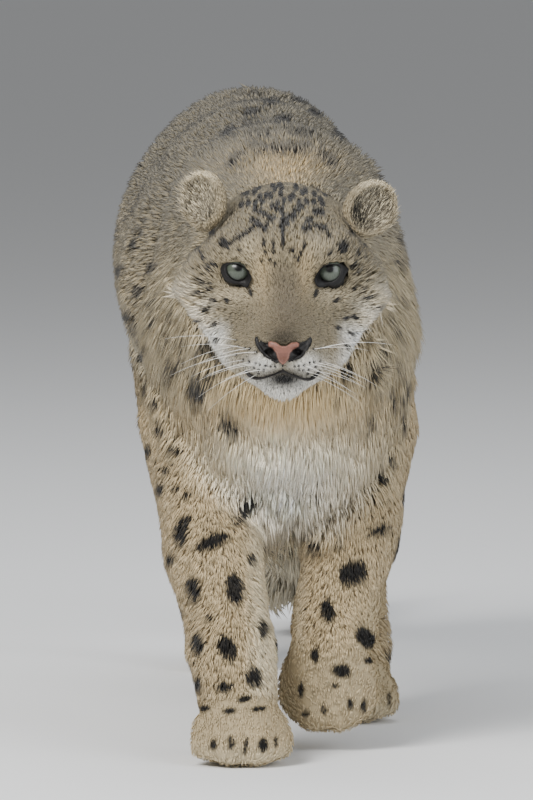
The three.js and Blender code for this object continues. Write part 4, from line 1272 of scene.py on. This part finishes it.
class LEOPARD_OT_nose(bpy.types.Operator):
    """Build the nose's pad with its nostrils"""

    bl_idname = "leopard.nose"
    bl_label = "Nose"

    def execute(self, context):
        tree, _ = flesh_tree(["head", "nose"])
        step = 0.55
        xs = np.arange(254, 313, step)
        ys = np.arange(333, 368, step)
        grid_x, grid_y = (g.ravel() for g in np.meshgrid(xs, ys))
        pad = within(grid_x, grid_y, grown(NOSE_PAD, 0.3))
        holes = within(grid_x, grid_y, NOSTRILS[0]) | within(grid_x, grid_y, NOSTRILS[1])
        keep = np.zeros_like(pad)
        for outline in [NOSE_PAD] + NOSTRILS:
            keep |= within(grid_x, grid_y, grown(outline, 1.3))
        shape = (len(ys), len(xs))
        height = np.where(pad, PAD_RISE, np.where(holes, -NOSTRIL_DEPTH, 0.4)).reshape(shape)
        tint = pad.astype(float).reshape(shape)
        for _ in range(3):
            height = self.blurred(height)
        tint = self.blurred(tint)
        depth = np.array([(onto(tree, x, y) - EYE_POINT).dot(AHEAD) for x, y in zip(grid_x, grid_y)])
        depth = depth.reshape(shape)
        for _ in range(10):
            depth = self.blurred(depth)
        depth = (depth - height * MM).ravel()
        bm = bmesh.new()
        verts = {}
        for k in np.nonzero(keep)[0]:
            verts[k] = bm.verts.new(at_depth(grid_x[k], grid_y[k], depth[k]))
        columns = len(xs)
        for k in list(verts):
            square = (k, k + columns, k + columns + 1, k + 1)
            if all(corner in verts for corner in square) and (k + 1) % columns:
                bm.faces.new([verts[corner] for corner in square])
        bmesh.ops.delete(bm, geom=[v for v in bm.verts if not v.link_faces], context="VERTS")
        bmesh.ops.smooth_vert(bm, verts=[v for v in bm.verts if v.is_boundary], factor=0.5)
        order = [k for k in verts if verts[k].is_valid]
        mesh = mesh_from(bm, "nose_pad")
        pink = np.array(settings().nose_colour)
        # Near-black where the pad isn't: painted shade down the nostrils, and a dark edge round the pad
        nostril_shade = linear((0.07, 0.062, 0.058))
        amount = tint.ravel()[order]
        edge = within(grid_x[order], grid_y[order], grown(NOSE_PAD, -1.2)).astype(float)
        grain = waves(np.array([v.co for v in mesh.vertices]), 0.0012, 0.6)
        colour = mix(filled(nostril_shade, len(order)), pink * (1 + 0.12 * grain[:, None]), amount)
        colour = mix(colour, linear((0.70, 0.50, 0.43)), 0.28 * (1 - edge) * amount)
        paint(mesh, colour, "pad")
        smooth_shade(mesh)
        nose = new_object("nose_pad", mesh)
        thick = nose.modifiers.new("Thickness", "SOLIDIFY")
        thick.thickness = 0.003
        thick.offset = -1
        leather = bumped(shader("leather", pink, 0.45, "pad", specular=0.45), 1600.0, 0.5)
        mesh.materials.append(leather)
        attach(nose, "root")
        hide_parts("nose")
        return {"FINISHED"}

    def blurred(self, grid):
        """The grid with each value drawn towards its four neighbours."""
        wide = np.pad(grid, 1, mode="edge")
        total = wide[1:-1, 1:-1] * 2 + wide[:-2, 1:-1] + wide[2:, 1:-1]
        return (total + wide[1:-1, :-2] + wide[1:-1, 2:]) / 6


def tubes(name, lines, sides=3):
    """Closed tapered tubes along lines of (point, radius)."""
    corners, faces = [], []
    for line in lines:
        points = np.array([p for p, _ in line])
        ahead = unit(np.gradient(points, axis=0))
        u = unit(np.cross(ahead, filled((0.13, 0.31, 0.94), len(points))))
        v = np.cross(ahead, u)
        start = len(corners)
        for k, (_, radius) in enumerate(line):
            for j in range(sides):
                angle = math.tau * j / sides
                corners.append(points[k] + radius * (u[k] * math.cos(angle) + v[k] * math.sin(angle)))
        for k in range(len(line) - 1):
            for j in range(sides):
                a, b = start + k * sides + j, start + k * sides + (j + 1) % sides
                faces.append((a, b, b + sides, a + sides))
        faces.append(tuple(start + j for j in reversed(range(sides))))
        last = start + (len(line) - 1) * sides
        faces.append(tuple(last + j for j in range(sides)))
    mesh = bpy.data.meshes.new(name)
    mesh.from_pydata(corners, [], faces)
    smooth_shade(mesh)
    return mesh


class LEOPARD_OT_mouth(bpy.types.Operator):
    """Build the dark line of the mouth and the groove above it"""

    bl_idname = "leopard.mouth"
    bl_label = "Mouth"

    def execute(self, context):
        tree, _ = flesh_tree(["head"])
        lines = []
        for line in MOUTH_LINES:
            spots = np.array(line)
            along = np.linspace(0, 1, len(spots))
            fine = np.linspace(0, 1, 6 * len(spots))
            xs, ys, wide = (np.interp(fine, along, spots[:, k]) for k in range(3))
            points = np.array([onto(tree, x, y, 0.0002) for x, y in zip(xs, ys)])
            for _ in range(6):
                points[1:-1] = (points[:-2] + 2 * points[1:-1] + points[2:]) / 4
            lines.append([(p, w * MM) for p, w in zip(points, wide)])
        mesh = tubes("lips", lines, 8)
        mesh.materials.append(bumped(shader("lip", linear((0.10, 0.085, 0.08)), 0.5), 1500.0, 0.4))
        lips = new_object("lips", mesh)
        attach(lips, "root")
        return {"FINISHED"}


class LEOPARD_OT_whiskers(bpy.types.Operator):
    """Set the whiskers in rows on the pads"""

    bl_idname = "leopard.whiskers"
    bl_label = "Whiskers"

    def execute(self, context):
        tree, _ = flesh_tree(["head"])
        rng = np.random.default_rng(23)
        lines = []
        rows = [spot for spot in WHISKER_SPOTS if abs(spot[0] - FACE_COLUMN) > 18]
        for x, y in rows:
            side = -1.0 if x < FACE_COLUMN else 1.0
            root = np.array(onto(tree, x, y, -0.0012))
            far = abs(x - FACE_COLUMN) / 45
            length = settings().whisker * (0.35 + 0.5 * far) * rng.uniform(0.75, 1.1)
            rise = rng.uniform(-0.25, 0.22) - 0.012 * (y - 355)
            heading = unit(np.array([[side * 0.95, -0.28, rise]]))[0]
            droop = np.array((0.0, 0.35, -0.22)) * length
            line = []
            for t in np.linspace(0, 1, 9):
                point = root + heading * length * t + droop * t**2
                line.append((point, 0.0002 * (1 - t) ** 0.8 + 0.00004))
            lines.append(line)
        mesh = tubes("whiskers", lines, 4)
        mesh.materials.append(shader("whisker", linear((0.96, 0.95, 0.92)), 0.35, specular=0.5))
        whiskers = new_object("whiskers", mesh)
        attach(whiskers, "root")
        return {"FINISHED"}


class LEOPARD_OT_stage(bpy.types.Operator):
    """Set the floor, the soft light and the camera of the photo"""

    bl_idname = "leopard.stage"
    bl_label = "Stage"

    def execute(self, context):
        bm = bmesh.new()
        bmesh.ops.create_grid(bm, x_segments=1, y_segments=1, size=150)
        mesh = mesh_from(bm, "floor")
        mesh.materials.append(shader("floor", linear((0.93, 0.935, 0.94)), 0.9))
        floor = new_object("floor", mesh)
        world = bpy.data.worlds.new("sky")
        world.use_nodes = True
        sky = world.node_tree.nodes["Background"]
        sky.inputs["Color"].default_value = (0.65, 0.655, 0.66, 1)
        sky.inputs["Strength"].default_value = 0.42
        context.scene.world = world
        for name, place, size, power, colour in (
            ("key", (-2.2, -3.4, 3.2), 2.2, 290, (1.0, 0.98, 0.95)),
            ("fill", (3.0, -3.2, 1.6), 3.0, 115, (0.93, 0.96, 1.0)),
            ("top", (0.0, 1.0, 4.2), 3.5, 90, (0.96, 0.98, 1.0)),
        ):
            lamp = bpy.data.lights.new(name, "AREA")
            lamp.size = size
            lamp.energy = power
            lamp.color = colour
            light = bpy.data.objects.new(name, lamp)
            light.location = place
            aim = Vector((0, -0.3, 0.35)) - Vector(place)
            light.rotation_euler = aim.to_track_quat("-Z", "Y").to_euler()
            context.scene.collection.objects.link(light)
        lens = bpy.data.cameras.new("view")
        lens.sensor_fit = "VERTICAL"
        lens.sensor_height = 36.0
        lens.lens = VIEW_PIXELS * lens.sensor_height / VIEW_HEIGHT
        lens.clip_end = 100.0
        camera = bpy.data.objects.new("view", lens)
        camera.location = EYE_POINT
        camera.rotation_euler = AHEAD.to_track_quat("-Z", "Y").to_euler()
        context.scene.collection.objects.link(camera)
        context.scene.camera = camera
        return {"FINISHED"}


class LEOPARD_PT_panel(bpy.types.Panel):
    bl_idname = "LEOPARD_PT_panel"
    bl_label = "Snow leopard"
    bl_space_type = "VIEW_3D"
    bl_region_type = "UI"
    bl_category = "Snow leopard"

    def draw(self, context):
        for name in LeopardSettings.__annotations__:
            self.layout.prop(context.scene.leopard, name)
        for operator in OPERATORS:
            self.layout.operator(operator.bl_idname)


OPERATORS = (
    LEOPARD_OT_skin, LEOPARD_OT_coat, LEOPARD_OT_ears, LEOPARD_OT_eyes, LEOPARD_OT_lids, LEOPARD_OT_nose,
    LEOPARD_OT_mouth, LEOPARD_OT_whiskers, LEOPARD_OT_stage,
)
CLASSES = (LeopardSettings, *OPERATORS, LEOPARD_PT_panel)


def register():
    for made in CLASSES:
        bpy.utils.register_class(made)
    bpy.types.Scene.leopard = bpy.props.PointerProperty(type=LeopardSettings)


def unregister():
    del bpy.types.Scene.leopard
    for made in reversed(CLASSES):
        bpy.utils.unregister_class(made)


def main():
    register()
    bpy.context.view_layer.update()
    bpy.ops.leopard.skin()
    bpy.ops.leopard.coat()
    bpy.ops.leopard.ears()
    bpy.ops.leopard.eyes()
    bpy.ops.leopard.lids()
    bpy.ops.leopard.nose()
    bpy.ops.leopard.mouth()
    bpy.ops.leopard.whiskers()
    bpy.ops.leopard.stage()


if __name__ == "__main__":
    main()
